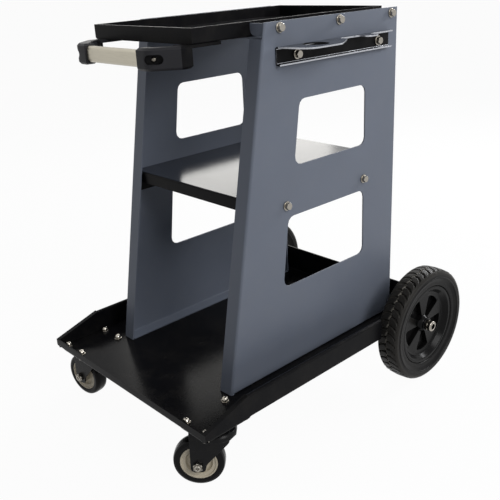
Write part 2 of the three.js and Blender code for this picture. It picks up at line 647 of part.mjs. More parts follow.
function handleBracket() {
  const e = HANDLE_EDGE_R;
  const inner = (x, y) => [x - ARM_OUT.x * HANDLE_ARM_T, y - ARM_OUT.y * HANDLE_ARM_T];
  const slantRear = inner(TRAY_X, HANDLE_REAR - HANDLE_SIDE_L);
  const slantFront = inner(HANDLE_FRONT_HALF, HANDLE_FRONT);
  const run = (x) => slantFront[1] + ((x - slantFront[0]) * ARM_SLANT.y) / ARM_SLANT.x;
  const innerX = TRAY_X - HANDLE_ARM_T;
  const plan = outlineShape([
    [TRAY_X - e, HANDLE_REAR - e],
    [TRAY_X - e, HANDLE_REAR - HANDLE_SIDE_L, 10],
    [HANDLE_FRONT_HALF, HANDLE_FRONT + e, 14],
    [HANDLE_END_HALF + e, HANDLE_FRONT + e],
    [HANDLE_END_HALF + e, HANDLE_FRONT + HANDLE_ARM_T - e],
    [slantFront[0] + (HANDLE_FRONT + HANDLE_ARM_T - slantFront[1]) * (ARM_SLANT.x / ARM_SLANT.y),
      HANDLE_FRONT + HANDLE_ARM_T - e, 6],
    [innerX + e, run(innerX) - e, 6],
    [innerX + e, HANDLE_REAR - e],
  ]);
  const arm = alongZ(plan, HANDLE_TOP - HANDLE_H + e, HANDLE_TOP - e, {
    bevelEnabled: true,
    bevelThickness: e,
    bevelSize: e,
    bevelSegments: 1,
  });
  const tongueIn = TRAY_X - e - HANDLE_TONGUE_W;
  const tongue = block(tongueIn, TRAY_X - e, HANDLE_REAR - HANDLE_ARM_T / 2, HANDLE_REAR + HANDLE_TONGUE_L,
    HANDLE_TOP - HANDLE_TONGUE_T, HANDLE_TOP);
  const socket = alongX(outlineShape(gripOutline(SEAT_GAP)), HANDLE_END_HALF - 1, HANDLE_END_HALF + GRIP_SOCKET);
  const oval = outlineShape([
    [-RECESS_W / 2, -RECESS_H / 2, RECESS_H / 2],
    [RECESS_W / 2, -RECESS_H / 2, RECESS_H / 2],
    [RECESS_W / 2, RECESS_H / 2, RECESS_H / 2],
    [-RECESS_W / 2, RECESS_H / 2, RECESS_H / 2],
  ]);
  const recess = extrudeAlong(oval, RECESS_DEPTH + HANDLE_ARM_T, slantBasis(), slantOrigin(RECESS_DEPTH));
  return cut(join(arm, tongue), socket, recess);
}

function handleBolt() {
  const round = new THREE.Shape();
  round.absarc(0, 0, HANDLE_BOLT_D / 2, 0, 2 * Math.PI);
  return extrudeAlong(round, HANDLE_BOLT_H, slantBasis(), slantOrigin(RECESS_DEPTH - SEAT_GAP));
}

function handleGrip() {
  const end = HANDLE_END_HALF + GRIP_SOCKET - SEAT_GAP;
  const tube = outlineShape(gripOutline(0));
  tube.holes.push(new THREE.Path(roundedOutline(gripOutline(-GRIP_WALL))));
  return alongX(tube, -end, end);
}

// Torch holder: an angle bolted to the right panel, with a lip below and a shaped top with a round hole
function torchHolder() {
  const back = PANEL_X + SEAT_GAP;
  const out = back + TORCH_REACH;
  const rear = TORCH_REAR;
  const tongueEnd = TORCH_FRONT + TORCH_TONGUE_L;
  const finger = TORCH_FRONT + FINGER_START;
  const holeY = TORCH_FRONT + TORCH_HOLE_SETBACK;
  const holeX = back + TORCH_HOLE_OUT;
  const ledge = back + TORCH_LEDGE;
  const half = TORCH_HOLE_D / 2;
  const top = outlineShape([
    [back + BEND_R, TORCH_FRONT],
    [out, TORCH_FRONT + half / 2, half],
    [out, holeY + half, half],
    [back + TORCH_HOLE_OUT, tongueEnd, 8],
    [ledge, tongueEnd, 5],
    [ledge, finger, 5],
    [back + FINGER_REACH, finger, FINGER_L / 3],
    [back + FINGER_REACH, finger + FINGER_L, FINGER_L / 3],
    [ledge, finger + FINGER_L, 5],
    [ledge, rear],
    [back + BEND_R, rear],
  ]);
  const hole = new THREE.Path();
  hole.absarc(holeX, holeY, half, 0, 2 * Math.PI);
  top.holes.push(hole);
  const shelf = alongZ(top, TORCH_TOP - SHEET, TORCH_TOP);
  const drop = Z_AXIS.clone().negate();
  const upper = foldedEdge([back, TORCH_FRONT, TORCH_TOP], X_AXIS, drop, TORCH_L, TORCH_H / 2);
  const lower = foldedEdge([back, rear, TORCH_TOP - TORCH_H], X_AXIS, Z_AXIS, TORCH_L, TORCH_H / 2 + 1);
  const lip = block(back + BEND_R, back + TORCH_LIP, TORCH_FRONT, rear, TORCH_TOP - TORCH_H,
    TORCH_TOP - TORCH_H + SHEET);
  const holes = torchBolts.map((at) => boltHole(back - 1, back + SHEET + 1, at));
  return cut(join(shelf, upper, lower, lip), ...holes);
}

// Rear axle, the brackets that hold it under the floor, and the wheels
const AXLE_SEAT = BASE_REAR_W / 2; // outer faces of the axle brackets
const WHEEL_IN = AXLE_SEAT + 2 * SEAT_GAP + WASHER_T + HUB_REACH;
const WHEEL_X = WHEEL_IN + TYRE_W / 2;
const HUB_END = TYRE_W / 2 - HUB_NOSE;
const HUB_START = -TYRE_W / 2 - HUB_REACH + SEAT_GAP;
const OUTER_WASHER = WHEEL_X + HUB_END + SEAT_GAP;
const AXLE_NUT = OUTER_WASHER + WASHER_T + SEAT_GAP;
const AXLE_HALF = AXLE_NUT + AXLE_NUT_T + AXLE_PROUD;

// Axle bracket: an angle under the floor, its leg hanging down around the axle
function axleBracket() {
  const top = FLOOR_UNDER - SEAT_GAP;
  const rear = BASE_REAR;
  const front = rear - BRACKET_L;
  const leg = outlineShape([
    [front, top],
    [front, top - 2 * BRACKET_T, BRACKET_T],
    [AXLE_Y - BRACKET_EYE_R, AXLE_Z - BRACKET_EYE_R, BRACKET_EYE_R],
    [rear, AXLE_Z - BRACKET_EYE_R, AXLE_TO_REAR],
    [rear, top],
  ]);
  const x = AXLE_SEAT;
  const foot = block(x - BRACKET_FOOT, x, front, AXLE_Y - AXLE_D, top - BRACKET_T, top);
  const hole = barX(overFlats(AXLE_D / 2 + SEAT_GAP, 20), x - BRACKET_T - 1, x + 1, AXLE_Y, AXLE_Z, 20);
  return cut(join(alongX(leg, x - BRACKET_T, x), foot), hole);
}

const TYRE_SIDES = 28;

// A wedge-shaped cut across one shoulder of the tread
function treadNotch(side, angle) {
  const wedge = new THREE.Shape([
    new THREE.Vector2(-TREAD_NOTCH_W, TREAD_DEPTH),
    new THREE.Vector2(0, -TREAD_DEPTH),
    new THREE.Vector2(TREAD_NOTCH_W, TREAD_DEPTH),
  ]);
  const notch = new THREE.ExtrudeGeometry(wedge, { depth: TREAD_NOTCH_LEN, bevelEnabled: false });
  notch.translate(0, 0, -TREAD_NOTCH_LEN / 2);
  notch.applyMatrix4(new THREE.Matrix4().makeBasis(Y_AXIS, Z_AXIS, X_AXIS));
  notch.rotateZ(radians(side * TREAD_LEAN));
  notch.translate(side * (TYRE_W / 2 - TREAD_NOTCH_LEN / 2 + 1), 0, REAR_WHEEL_D / 2);
  notch.rotateX(angle);
  return solid(notch);
}

function rearTyre() {
  const over = 1 / Math.cos(Math.PI / TYRE_SIDES);
  const crown = (REAR_WHEEL_D / 2) * over;
  const half = TYRE_W / 2;
  const bore = overFlats(RIM_SEAT_D / 2 + SEAT_GAP, TYRE_SIDES);
  const wall = REAR_WHEEL_D / 2 - RIM_SEAT_D / 2;
  const groove = TREAD_GROOVE_W / 2;
  const side = [
    [half - RIM_INSET - 1, bore],
    [half, bore + 0.25 * wall],
    [half, crown - 0.25 * wall],
    [half - 3, crown - 0.05 * wall],
    [half - 9, crown],
    [groove, crown],
    [groove, crown - TREAD_DEPTH],
  ];
  const other = side.map(([x, r]) => [-x, r]).reverse();
  const tyre = ringX([...side, ...other], TYRE_SIDES);
  const notches = [];
  for (let k = 0; k < TREAD_NOTCHES; k++) {
    const step = (2 * Math.PI) / TREAD_NOTCHES;
    notches.push(treadNotch(1, k * step + step / 4), treadNotch(-1, k * step - step / 4));
  }
  return cut(tyre, ...notches);
}

function spokePocket(angle) {
  const half = Math.PI / (2 * SPOKES);
  const outR = RIM_SEAT_D / 2 - SPOKE_RIM_BAND;
  const at = (r, a) => [r * Math.cos(a), r * Math.sin(a)];
  const pocket = outlineShape([
    [...at(SPOKE_POCKET_IN_R, angle - half), 1],
    [...at(outR, angle - half), 5],
    [...at(outR, angle), 0],
    [...at(outR, angle + half), 5],
    [...at(SPOKE_POCKET_IN_R, angle + half), 1],
  ], 1);
  const face = TYRE_W / 2 - HUB_DISC_INSET;
  return alongX(pocket, face - SPOKE_POCKET_DEPTH, face + 1);
}

function rearHub() {
  const seat = RIM_SEAT_D / 2;
  const edge = TYRE_W / 2 - RIM_INSET;
  const face = TYRE_W / 2 - HUB_DISC_INSET;
  const backFace = face - HUB_DISC_T;
  const boss = HUB_BOSS_D / 2;
  const bore = overFlats(AXLE_D / 2 + RUN_GAP + BUSH_WALL + SEAT_GAP, TYRE_SIDES);
  const band = seat - SPOKE_RIM_BAND + 2;
  const hub = ringX([
    [HUB_START, bore],
    [HUB_START, boss],
    [backFace, boss],
    [backFace, band],
    [-edge, seat - 7],
    [-edge, seat],
    [edge, seat],
    [edge, seat - 6],
    [face, band],
    [face, boss + 3],
    [HUB_END, boss - 2],
    [HUB_END, bore],
  ], TYRE_SIDES);
  const pockets = [];
  for (let k = 0; k < SPOKES; k++) pockets.push(spokePocket((2 * Math.PI * (k + 0.75)) / SPOKES));
  return cut(hub, ...pockets);
}

function hexCollar(boreR, flats, x0, x1) {
  const nut = barX(overFlats(flats / 2, 6), x0, x1, 0, 0, 6);
  return cut(nut, barX(overFlats(boreR, 16), x0 - 1, x1 + 1, 0, 0, 16));
}

function addRearWheel(name, side) {
  const wheel = new THREE.Group();
  wheel.position.set(side * WHEEL_X, AXLE_Y, AXLE_Z);
  wheel.rotation.z = side > 0 ? 0 : Math.PI;
  cart.add(wheel);
  const onAxle = AXLE_D / 2 + RUN_GAP;
  const fixed = AXLE_D / 2 + SEAT_GAP;
  addBody(name + "_tyre", rearTyre(), tyreRubber, wheel);
  addBody(name + "_hub", rearHub(), hubPlastic, wheel);
  addBody(name + "_bush", collarX(onAxle, onAxle + BUSH_WALL, HUB_START, HUB_END, 12), ivoryPlastic, wheel);
  const inner = AXLE_SEAT + SEAT_GAP - WHEEL_X;
  addBody(name + "_inner_washer", collarX(fixed, AXLE_WASHER_D / 2, inner, inner + WASHER_T, 12), zincSteel, wheel);
  const outer = OUTER_WASHER - WHEEL_X;
  addBody(name + "_outer_washer", collarX(fixed, AXLE_WASHER_D / 2, outer, outer + WASHER_T, 12), zincSteel, wheel);
  const nut = AXLE_NUT - WHEEL_X;
  addBody(name + "_axle_nut", hexCollar(fixed, AXLE_NUT_FLATS, nut, nut + AXLE_NUT_T), zincSteel, wheel);
}

// Casters: heights from the floor up, in a frame whose Z axis is the swivel axis
const PLATE_TOP = FLOOR_UNDER - SEAT_GAP;
const PLATE_UNDER = PLATE_TOP - PLATE_T;
const RACE_TOP = PLATE_UNDER - SEAT_GAP;
const RACE_UNDER = RACE_TOP - RACE_H;
const CROWN_TOP = RACE_UNDER - SEAT_GAP;
const CROWN_UNDER = CROWN_TOP - FORK_T;
const CASTER_Z = CASTER_D / 2;
const FORK_IN = CASTER_BOSS_W / 2 + FORK_SIDE_GAP;
const FORK_OUT = FORK_IN + FORK_T;

function casterPlate() {
  const x = PLATE_X / 2;
  const y = PLATE_Y / 2;
  const outline = outlineShape([[-x, -y, 9], [x, -y, 9], [x, y, 9], [-x, y, 9]], 2);
  const holes = [barZ(overFlats(KINGPIN_D / 2 + SEAT_GAP, 16), PLATE_UNDER - 1, PLATE_TOP + 1, 0, 0, 16)];
  for (const dx of [-PLATE_BOLT_X / 2, PLATE_BOLT_X / 2]) {
    for (const dy of [-PLATE_BOLT_Y / 2, PLATE_BOLT_Y / 2]) {
      holes.push(barZ(overFlats(PLATE_BOLT_D / 2 + HOLE_GAP, 8), PLATE_UNDER - 1, PLATE_TOP + 1, dx, dy, 8));
    }
  }
  return cut(alongZ(outline, PLATE_UNDER, PLATE_TOP), ...holes);
}

function casterRace() {
  const bulge = RACE_H / 3;
  return ringZ([
    [RACE_UNDER, RACE_BORE / 2],
    [RACE_UNDER, RACE_D / 2 - bulge],
    [RACE_UNDER + bulge, RACE_D / 2],
    [RACE_TOP - bulge, RACE_D / 2],
    [RACE_TOP, RACE_D / 2 - bulge],
    [RACE_TOP, RACE_BORE / 2],
  ], 16);
}

function casterKingpin() {
  const headTop = CROWN_UNDER - SEAT_GAP;
  const shank = barZ(KINGPIN_D / 2, headTop - 1, PLATE_TOP, 0, 0, 12);
  const head = barZ(KINGPIN_HEAD_D / 2, headTop - KINGPIN_HEAD_H, headTop, 0, 0, 12);
  return join(shank, head);
}

// Fork: a bent channel cut to the side outline of its legs, with a round crown, turned down at its edge, under the race
function casterFork() {
  const inner = FORK_BEND_R - FORK_T;
  const channel = outlineShape([
    [-FORK_OUT, 0],
    [-FORK_IN, 0],
    [-FORK_IN, CROWN_UNDER, inner],
    [FORK_IN, CROWN_UNDER, inner],
    [FORK_IN, 0],
    [FORK_OUT, 0],
    [FORK_OUT, CROWN_TOP, FORK_BEND_R],
    [-FORK_OUT, CROWN_TOP, FORK_BEND_R],
  ], 2);
  const legs = outlineShape([
    [FORK_BACK, CROWN_TOP + 1],
    [-FORK_FRONT, CROWN_TOP + 1],
    [-FORK_FRONT, CROWN_TOP - FORK_NECK_H, 20],
    [-CASTER_TRAIL - FORK_EYE_R, CASTER_Z, 10],
    [-CASTER_TRAIL - FORK_EYE_R, CASTER_Z - FORK_EYE_R, FORK_EYE_R],
    [-CASTER_TRAIL + FORK_EYE_R, CASTER_Z - FORK_EYE_R, FORK_EYE_R],
    [-CASTER_TRAIL + FORK_EYE_R, CASTER_Z, 20],
    [FORK_BACK, CROWN_TOP - FORK_NECK_H, 12],
  ], 2);
  const bent = alongY(channel, -CASTER_TRAIL - FORK_EYE_R - 1, FORK_BACK).intersect(
    alongX(legs, -FORK_OUT - 1, FORK_OUT + 1),
  );
  const crownR = FORK_CROWN_D / 2;
  const bore = KINGPIN_D / 4;
  const crown = ringZ([
    [CROWN_TOP, bore],
    [CROWN_TOP, crownR - FORK_BEND_R],
    [CROWN_TOP - FORK_BEND_R, crownR],
    [CROWN_TOP - FORK_CROWN_SKIRT, crownR],
    [CROWN_TOP - FORK_CROWN_SKIRT, crownR - FORK_T],
    [CROWN_UNDER - FORK_BEND_R, crownR - FORK_T],
    [CROWN_UNDER, crownR - FORK_BEND_R],
    [CROWN_UNDER, bore],
  ], 12);
  const pinHole = barZ(overFlats(KINGPIN_D / 2 + RUN_GAP, 12), 0, CROWN_TOP + 1, 0, 0, 12);
  const eye = overFlats(CASTER_AXLE_D / 2 + SEAT_GAP, 12);
  const axleHole = barX(eye, -FORK_OUT - 1, FORK_OUT + 1, -CASTER_TRAIL, CASTER_Z, 12);
  return cut(join(bent, crown), pinHole, axleHole);
}

const CASTER_BORE = CASTER_AXLE_D / 2 + RUN_GAP + CASTER_BUSH_WALL;

function casterCore() {
  const half = CASTER_CORE_W / 2;
  const boss = CASTER_BOSS_W / 2;
  const web = CASTER_WEB_T / 2;
  const bore = overFlats(CASTER_BORE + SEAT_GAP, 18);
  const seat = CASTER_CORE_D / 2;
  const bossR = CASTER_BOSS_D / 2;
  const side = [
    [boss, bore],
    [boss, bossR - 2],
    [web, bossR],
    [web, seat - 7],
    [half, seat],
  ];
  return ringX([...side, ...side.map(([x, r]) => [-x, r]).reverse()], 18);
}

function casterTyre() {
  const sides = 24;
  const crown = overFlats(CASTER_D / 2, sides);
  const bore = overFlats(CASTER_CORE_D / 2 + SEAT_GAP, sides);
  const half = CASTER_TREAD_W / 2;
  const side = [
    [half - 0.5, bore],
    [half, crown - 6],
    [half - 2, crown - 1.5],
    [half - 7, crown],
  ];
  return ringX([...side, ...side.map(([x, r]) => [-x, r]).reverse()], sides);
}

function casterAxle() {
  const headStart = FORK_OUT + SEAT_GAP;
  const end = FORK_OUT + SEAT_GAP + CASTER_NUT_H + 2;
  const shank = barX(CASTER_AXLE_D / 2, -end, headStart + 1, 0, 0, 16);
  const head = barX(overFlats(CASTER_HEAD_FLATS / 2, 6), headStart, headStart + CASTER_HEAD_H, 0, 0, 6);
  return join(shank, head);
}

function addCaster(name, side) {
  const fixed = new THREE.Group();
  fixed.position.set(side * CASTER_X, CASTER_Y, 0);
  cart.add(fixed);
  addBody(name + "_plate", casterPlate(), blackSteel, fixed);
  addBody(name + "_race", casterRace(), zincSteel, fixed);
  addBody(name + "_kingpin", casterKingpin(), zincSteel, fixed);
  const swivel = new THREE.Group();
  swivel.rotation.z = radians(side > 0 ? CASTER_REST.right : CASTER_REST.left);
  fixed.add(swivel);
  addBody(name + "_fork", casterFork(), blackSteel, swivel);
  const wheel = new THREE.Group();
  wheel.position.set(0, -CASTER_TRAIL, CASTER_Z);
  swivel.add(wheel);
  const boss = CASTER_BOSS_W / 2;
  addBody(name + "_core", casterCore(), ivoryPlastic, wheel);
  addBody(name + "_tyre", casterTyre(), tyreRubber, wheel);
  const running = CASTER_AXLE_D / 2 + RUN_GAP;
  addBody(name + "_bush", collarX(running, CASTER_BORE, -boss, boss, 12), zincSteel, wheel);
  addBody(name + "_axle_bolt", casterAxle(), zincSteel, wheel);
  const nut = -FORK_OUT - SEAT_GAP;
  const nutBore = CASTER_AXLE_D / 2 + SEAT_GAP;
  addBody(name + "_axle_nut", hexCollar(nutBore, CASTER_HEAD_FLATS, nut - CASTER_NUT_H, nut), zincSteel, wheel);
}

// A hexagon bolt with a washer face, its seat in the plane x = 0 and its head towards +X
function panelBolt() {
  const head = barX(overFlats(BOLT_FLATS / 2, 6), 0, BOLT_WASHER_T + BOLT_HEAD_H, 0, 0, 6);
  const washer = barX(BOLT_WASHER_D / 2, 0, BOLT_WASHER_T, 0, 0, 9);
  const shank = barX(BOLT_D / 2, -BOLT_LEN, 1, 0, 0, 6);
  return geometryOf(join(head, washer, shank));
}

const boltGeometry = panelBolt();

function addBolt(name, side, seat, [y, z]) {
  const bolt = add(name, boltGeometry, zincSteel);
  bolt.position.set(side * (seat + SEAT_GAP), y, z);
  bolt.rotation.z = side > 0 ? 0 : Math.PI;
}

addBody("base_pan", basePan(), blackPaint);
addBody("right_side_panel", sidePanel([...topBolts, ...torchBolts, ...shelfBolts]), greyPaint);
add("left_side_panel", mirrored(geometryOf(sidePanel([...topBolts, ...shelfBolts]))), greyPaint);
addBody("middle_shelf", middleShelf(), blackPaint);
addBody("top_tray", topTray(), blackPaint);
addPair("top_rail", topRail(), greyPaint);
addPair("handle_bracket", handleBracket(), handlePlastic);
addPair("handle_bolt", handleBolt(), zincSteel);
addBody("handle_grip", handleGrip(), paleMetal);
addBody("torch_holder", torchHolder(), blackPaint);
addBody("rear_axle", barX(AXLE_D / 2, -AXLE_HALF, AXLE_HALF, AXLE_Y, AXLE_Z, 20), zincSteel);
addPair("axle_bracket", axleBracket(), blackSteel);
addRearWheel("right_wheel", 1);
addRearWheel("left_wheel", -1);
addCaster("right_caster", 1);
addCaster("left_caster", -1);
for (const [word, side] of [["right", 1], ["left", -1]]) {
  topBolts.forEach((at, i) => addBolt(`${word}_top_bolt_${i + 1}`, side, PANEL_X, at));
  shelfBolts.forEach((at, i) => addBolt(`${word}_shelf_bolt_${i + 1}`, side, PANEL_X, at));
}
torchBolts.forEach((at, i) => addBolt(`torch_bolt_${i + 1}`, 1, PANEL_X + SEAT_GAP + SHEET, at));

// The origin lies on the floor, under the middle of the cart's box
cart.updateMatrixWorld(true);
const box = new THREE.Box3().setFromObject(cart, true);
const centre = box.getCenter(new THREE.Vector3());
for (const piece of cart.children) {
  piece.position.x -= centre.x;
  piece.position.y -= centre.y;
}

export default cart;
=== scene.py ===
# %% [markdown]
# # A welding cart
# The cart is folded sheet steel: a base pan on two treaded rear wheels and two swivel casters, two tapered
# side panels with windows, a shelf, a tray with a push handle, and a torch holder. The solids arrive finished
# in size and place. This lesson gives them their surface: rounded edges, turned and moulded forms that the
# faceted solids only hint at, fasteners, and finishes made from nodes.

# %% Load the solids
import json
import math
import bmesh
import bpy
from mathutils import Matrix, Vector


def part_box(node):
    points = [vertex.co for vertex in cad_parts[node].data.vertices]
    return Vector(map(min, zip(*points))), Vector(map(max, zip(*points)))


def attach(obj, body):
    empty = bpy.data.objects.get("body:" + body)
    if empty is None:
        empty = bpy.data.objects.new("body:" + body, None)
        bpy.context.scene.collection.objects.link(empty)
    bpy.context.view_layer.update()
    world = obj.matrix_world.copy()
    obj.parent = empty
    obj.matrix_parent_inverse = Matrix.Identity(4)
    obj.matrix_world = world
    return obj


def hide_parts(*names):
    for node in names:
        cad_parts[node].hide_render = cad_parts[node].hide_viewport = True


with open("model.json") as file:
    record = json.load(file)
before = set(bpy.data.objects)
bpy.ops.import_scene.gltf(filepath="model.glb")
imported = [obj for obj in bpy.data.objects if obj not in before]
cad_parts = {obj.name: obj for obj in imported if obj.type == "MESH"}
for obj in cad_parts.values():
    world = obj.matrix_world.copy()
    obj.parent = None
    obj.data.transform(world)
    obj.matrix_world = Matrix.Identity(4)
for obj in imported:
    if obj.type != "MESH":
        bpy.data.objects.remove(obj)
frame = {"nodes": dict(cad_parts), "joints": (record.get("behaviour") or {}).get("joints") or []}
nodes = frame["nodes"]
joints = {joint["name"]: joint for joint in frame["joints"]}
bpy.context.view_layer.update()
scene = bpy.context.scene
scene.view_settings.view_transform = "Standard"
MM = 0.001
SIDES = (("right", 1), ("left", -1))
print("solids:", len(nodes), "joints:", sorted(joints))

# %% [markdown]
# ## The camera
# The photograph was taken from the front right corner at chest height, with the camera tilted a little. A fit
# of the cart's straight edges gave the place, the turn and the focal length. A camera could be aimed by a
# constraint, but the tilt would then be lost, so its three axes are written as a matrix.

# %% Camera
camera_data = bpy.data.cameras.new("camera")
camera_data.sensor_width = 36
camera_data.lens = 51.09
camera = bpy.data.objects.new("camera", camera_data)
scene.collection.objects.link(camera)
to_right = Vector((0.68333383, 0.72848913, -0.04856412))
to_foot = Vector((0.24038075, -0.28729112, -0.92718979))
ahead = to_right.cross(to_foot)
turn = Matrix((to_right, -to_foot, -ahead)).transposed().to_4x4()
camera.matrix_world = Matrix.Translation((0.82528, -0.7614, 0.69438)) @ turn
scene.camera = camera
print("camera looks along", [round(v, 3) for v in ahead])

# %% [markdown]
# ## Building node trees
# Finishes, the studio and the repeated shapes are all node trees. One small helper adds a node, sets its
# options, and fills or links its inputs, so that each tree below reads as a short list of steps.

# %% Node helper
def step(tree, kind, options=None, **inputs):
    made = tree.nodes.new(kind)
    for name, value in (options or {}).items():
        setattr(made, name, value)
    for name, value in inputs.items():
        key = int(name[1:]) if name[0] == "i" and name[1:].isdigit() else name.replace("_", " ")
        socket = made.inputs[key]
        if isinstance(value, bpy.types.NodeSocket):
            tree.links.new(value, socket)
        else:
            socket.default_value = value
    return made


def calc(tree, operation, *values):
    inputs = {f"i{k}": value for k, value in enumerate(values)}
    return step(tree, "ShaderNodeMath", {"operation": operation}, **inputs).outputs[0]


def linear(red, green, blue):
    shares = [channel / 255 for channel in (red, green, blue)]
    return tuple(c / 12.92 if c <= 0.04045 else ((c + 0.055) / 1.055) ** 2.4 for c in shares) + (1.0,)


print("a mid grey of 128 is", round(linear(128, 128, 128)[0], 3), "in linear light")

# %% [markdown]
# ## The studio
# The cart stands on a plain white floor that runs out of sight, under soft light. The floor could be lit until
# it burns out, but then the cart would be too bright as well. Instead the floor and the world show white to the
# camera and to reflections, and give only moderate light to everything else, so the floor keeps a soft shadow.

# %% Floor and world
def seen_directly(tree):
    path = step(tree, "ShaderNodeLightPath")
    seen = calc(tree, "ADD", path.outputs["Is Camera Ray"], path.outputs["Is Glossy Ray"])
    return calc(tree, "MINIMUM", calc(tree, "ADD", seen, path.outputs["Is Transmission Ray"]), 1.0)


world = bpy.data.worlds.new("studio")
scene.world = world
world.use_nodes = True
tree = world.node_tree
tree.nodes.clear()
soft = step(tree, "ShaderNodeBackground", Color=(0.93, 0.96, 1.0, 1), Strength=0.19)
white = step(tree, "ShaderNodeBackground", Color=(1, 1, 1, 1), Strength=1.0)
mixed = step(tree, "ShaderNodeMixShader", i0=seen_directly(tree), i1=soft.outputs[0], i2=white.outputs[0])
step(tree, "ShaderNodeOutputWorld", Surface=mixed.outputs[0])

floor_finish = bpy.data.materials.new("studio_floor")
floor_finish.use_nodes = True
tree = floor_finish.node_tree
tree.nodes.clear()
matt = step(tree, "ShaderNodeBsdfDiffuse", Color=(0.6, 0.6, 0.6, 1))
glow = step(tree, "ShaderNodeEmission", Color=(1, 1, 1, 1), Strength=1.0)
share = calc(tree, "MULTIPLY", seen_directly(tree), 0.96)
mixed = step(tree, "ShaderNodeMixShader", i0=share, i1=matt.outputs[0], i2=glow.outputs[0])
step(tree, "ShaderNodeOutputMaterial", Surface=mixed.outputs[0])

floor_mesh = bpy.data.meshes.new("floor")
reach = 40.0
floor_mesh.from_pydata([(-reach, -reach, 0), (reach, -reach, 0), (reach, reach, 0), (-reach, reach, 0)], [],
                       [(0, 1, 2, 3)])
floor_mesh.materials.append(floor_finish)
floor = bpy.data.objects.new("floor", floor_mesh)
scene.collection.objects.link(floor)
print("floor reaches", reach, "m each way")

# %% Lamps
def lamp(name, place, aim, size, power, tint=(1, 1, 1)):
    data = bpy.data.lights.new(name, "AREA")
    data.shape = "RECTANGLE"
    data.size, data.size_y = size
    data.energy = power
    data.color = tint
    made = bpy.data.objects.new(name, data)
    scene.collection.objects.link(made)
    made.location = place
    made.rotation_euler = (Vector(aim) - Vector(place)).to_track_quat("-Z", "Y").to_euler()
    return made


middle = (0.0, 0.0, 0.35)
lamp("window_light", (-1.0, -1.0, 2.6), middle, (1.6, 1.6), 8, (1.0, 0.97, 0.93))
lamp("side_light", (2.1, -0.1, 1.6), (0.0, -0.1, 0.45), (1.2, 1.2), 33)
lamp("back_light", (0.15, 1.95, 1.3), (0.2, 0.2, 0.15), (1.9, 0.5), 54, (0.97, 0.98, 1.0))
lamp("low_light", (-1.5, 1.2, 1.08), (0.05, -0.08, 0.39), (1.0, 0.85), 6.4, (1.0, 0.98, 0.93))

# %% [markdown]
# ## Painted steel
# The panels have a blue-grey powder coat and the decks a black one. A powder coat is never quite even: it has a
# fine orange peel, a slow drift in tone, and a little dust that dulls the gloss in patches. Three noises at very
# different scales give those three things: one bends the surface, one moves the colour, one moves the roughness.

# %% Powder coat
def powder_coat(name, colour, roughness, gloss, dust=0.0, peel=0.05, patchy=1.0):
    material = bpy.data.materials.new(name)
    material.use_nodes = True
    tree = material.node_tree
    shader = tree.nodes["Principled BSDF"]
    place = step(tree, "ShaderNodeTexCoord").outputs["Object"]
    drift = step(tree, "ShaderNodeTexNoise", Vector=place, Scale=7.0, Detail=3.0).outputs[0]
    dark = tuple(0.9 * c for c in colour[:3]) + (1,)
    light = tuple(1.08 * c for c in colour[:3]) + (1,)
    tone = step(tree, "ShaderNodeMix", {"data_type": "RGBA"}, i0=drift, i6=dark, i7=light).outputs[2]
    smear = step(tree, "ShaderNodeTexNoise", Vector=place, Scale=34.0, Detail=5.0, Roughness=0.65).outputs[0]
    patches = step(tree, "ShaderNodeMapRange", i0=smear, i1=0.45, i2=0.8, i3=0.0, i4=dust).outputs[0]
    grime = step(tree, "ShaderNodeMix", {"data_type": "RGBA"}, i0=patches, i6=tone, i7=linear(150, 142, 128))
    tree.links.new(grime.outputs[2], shader.inputs["Base Color"])
    sheen = step(tree, "ShaderNodeMapRange", i0=smear, i1=0.3, i2=0.8, i3=roughness - 0.05 * patchy,
                 i4=roughness + 0.09 * patchy)
    tree.links.new(sheen.outputs[0], shader.inputs["Roughness"])
    skin = step(tree, "ShaderNodeTexNoise", Vector=place, Scale=900.0, Detail=1.0).outputs[0]
    bump = step(tree, "ShaderNodeBump", Strength=peel, Distance=0.0004, Height=skin)
    tree.links.new(bump.outputs[0], shader.inputs["Normal"])
    shader.inputs["Specular IOR Level"].default_value = gloss
    return material


panel_grey = powder_coat("panel_grey", linear(99, 105, 117), 0.42, 0.24, dust=0.04)
deck_black = powder_coat("deck_black", linear(14, 14, 16), 0.34, 0.05, dust=0.02)
# The next finish is lighter and bluer than the deck black: a painted reflection of the grey panels, for upward faces.
top_black_painted_reflection = powder_coat("top_black_painted_reflection", linear(34, 38, 47), 0.16, 0.23, dust=0.03, peel=0.03, patchy=0.3)
floor_black = powder_coat("floor_black", linear(13, 13, 15), 0.19, 0.05, dust=0.02, patchy=0.4)
fork_black = powder_coat("fork_black", linear(13, 13, 15), 0.26, 0.12, dust=0.02)
print("paints:", panel_grey.name, deck_black.name, top_black_painted_reflection.name, floor_black.name, fork_black.name)

# %% [markdown]
# ## Bare metal
# The bolts and nuts are zinc plated, with a faint yellow cast, and the grip is a satin tube. Plating is
# metallic all over, so only tint and roughness vary: a cloudy noise for the plating, and for the grip a noise
# stretched along the tube, which reads as the drawing lines of the metal.

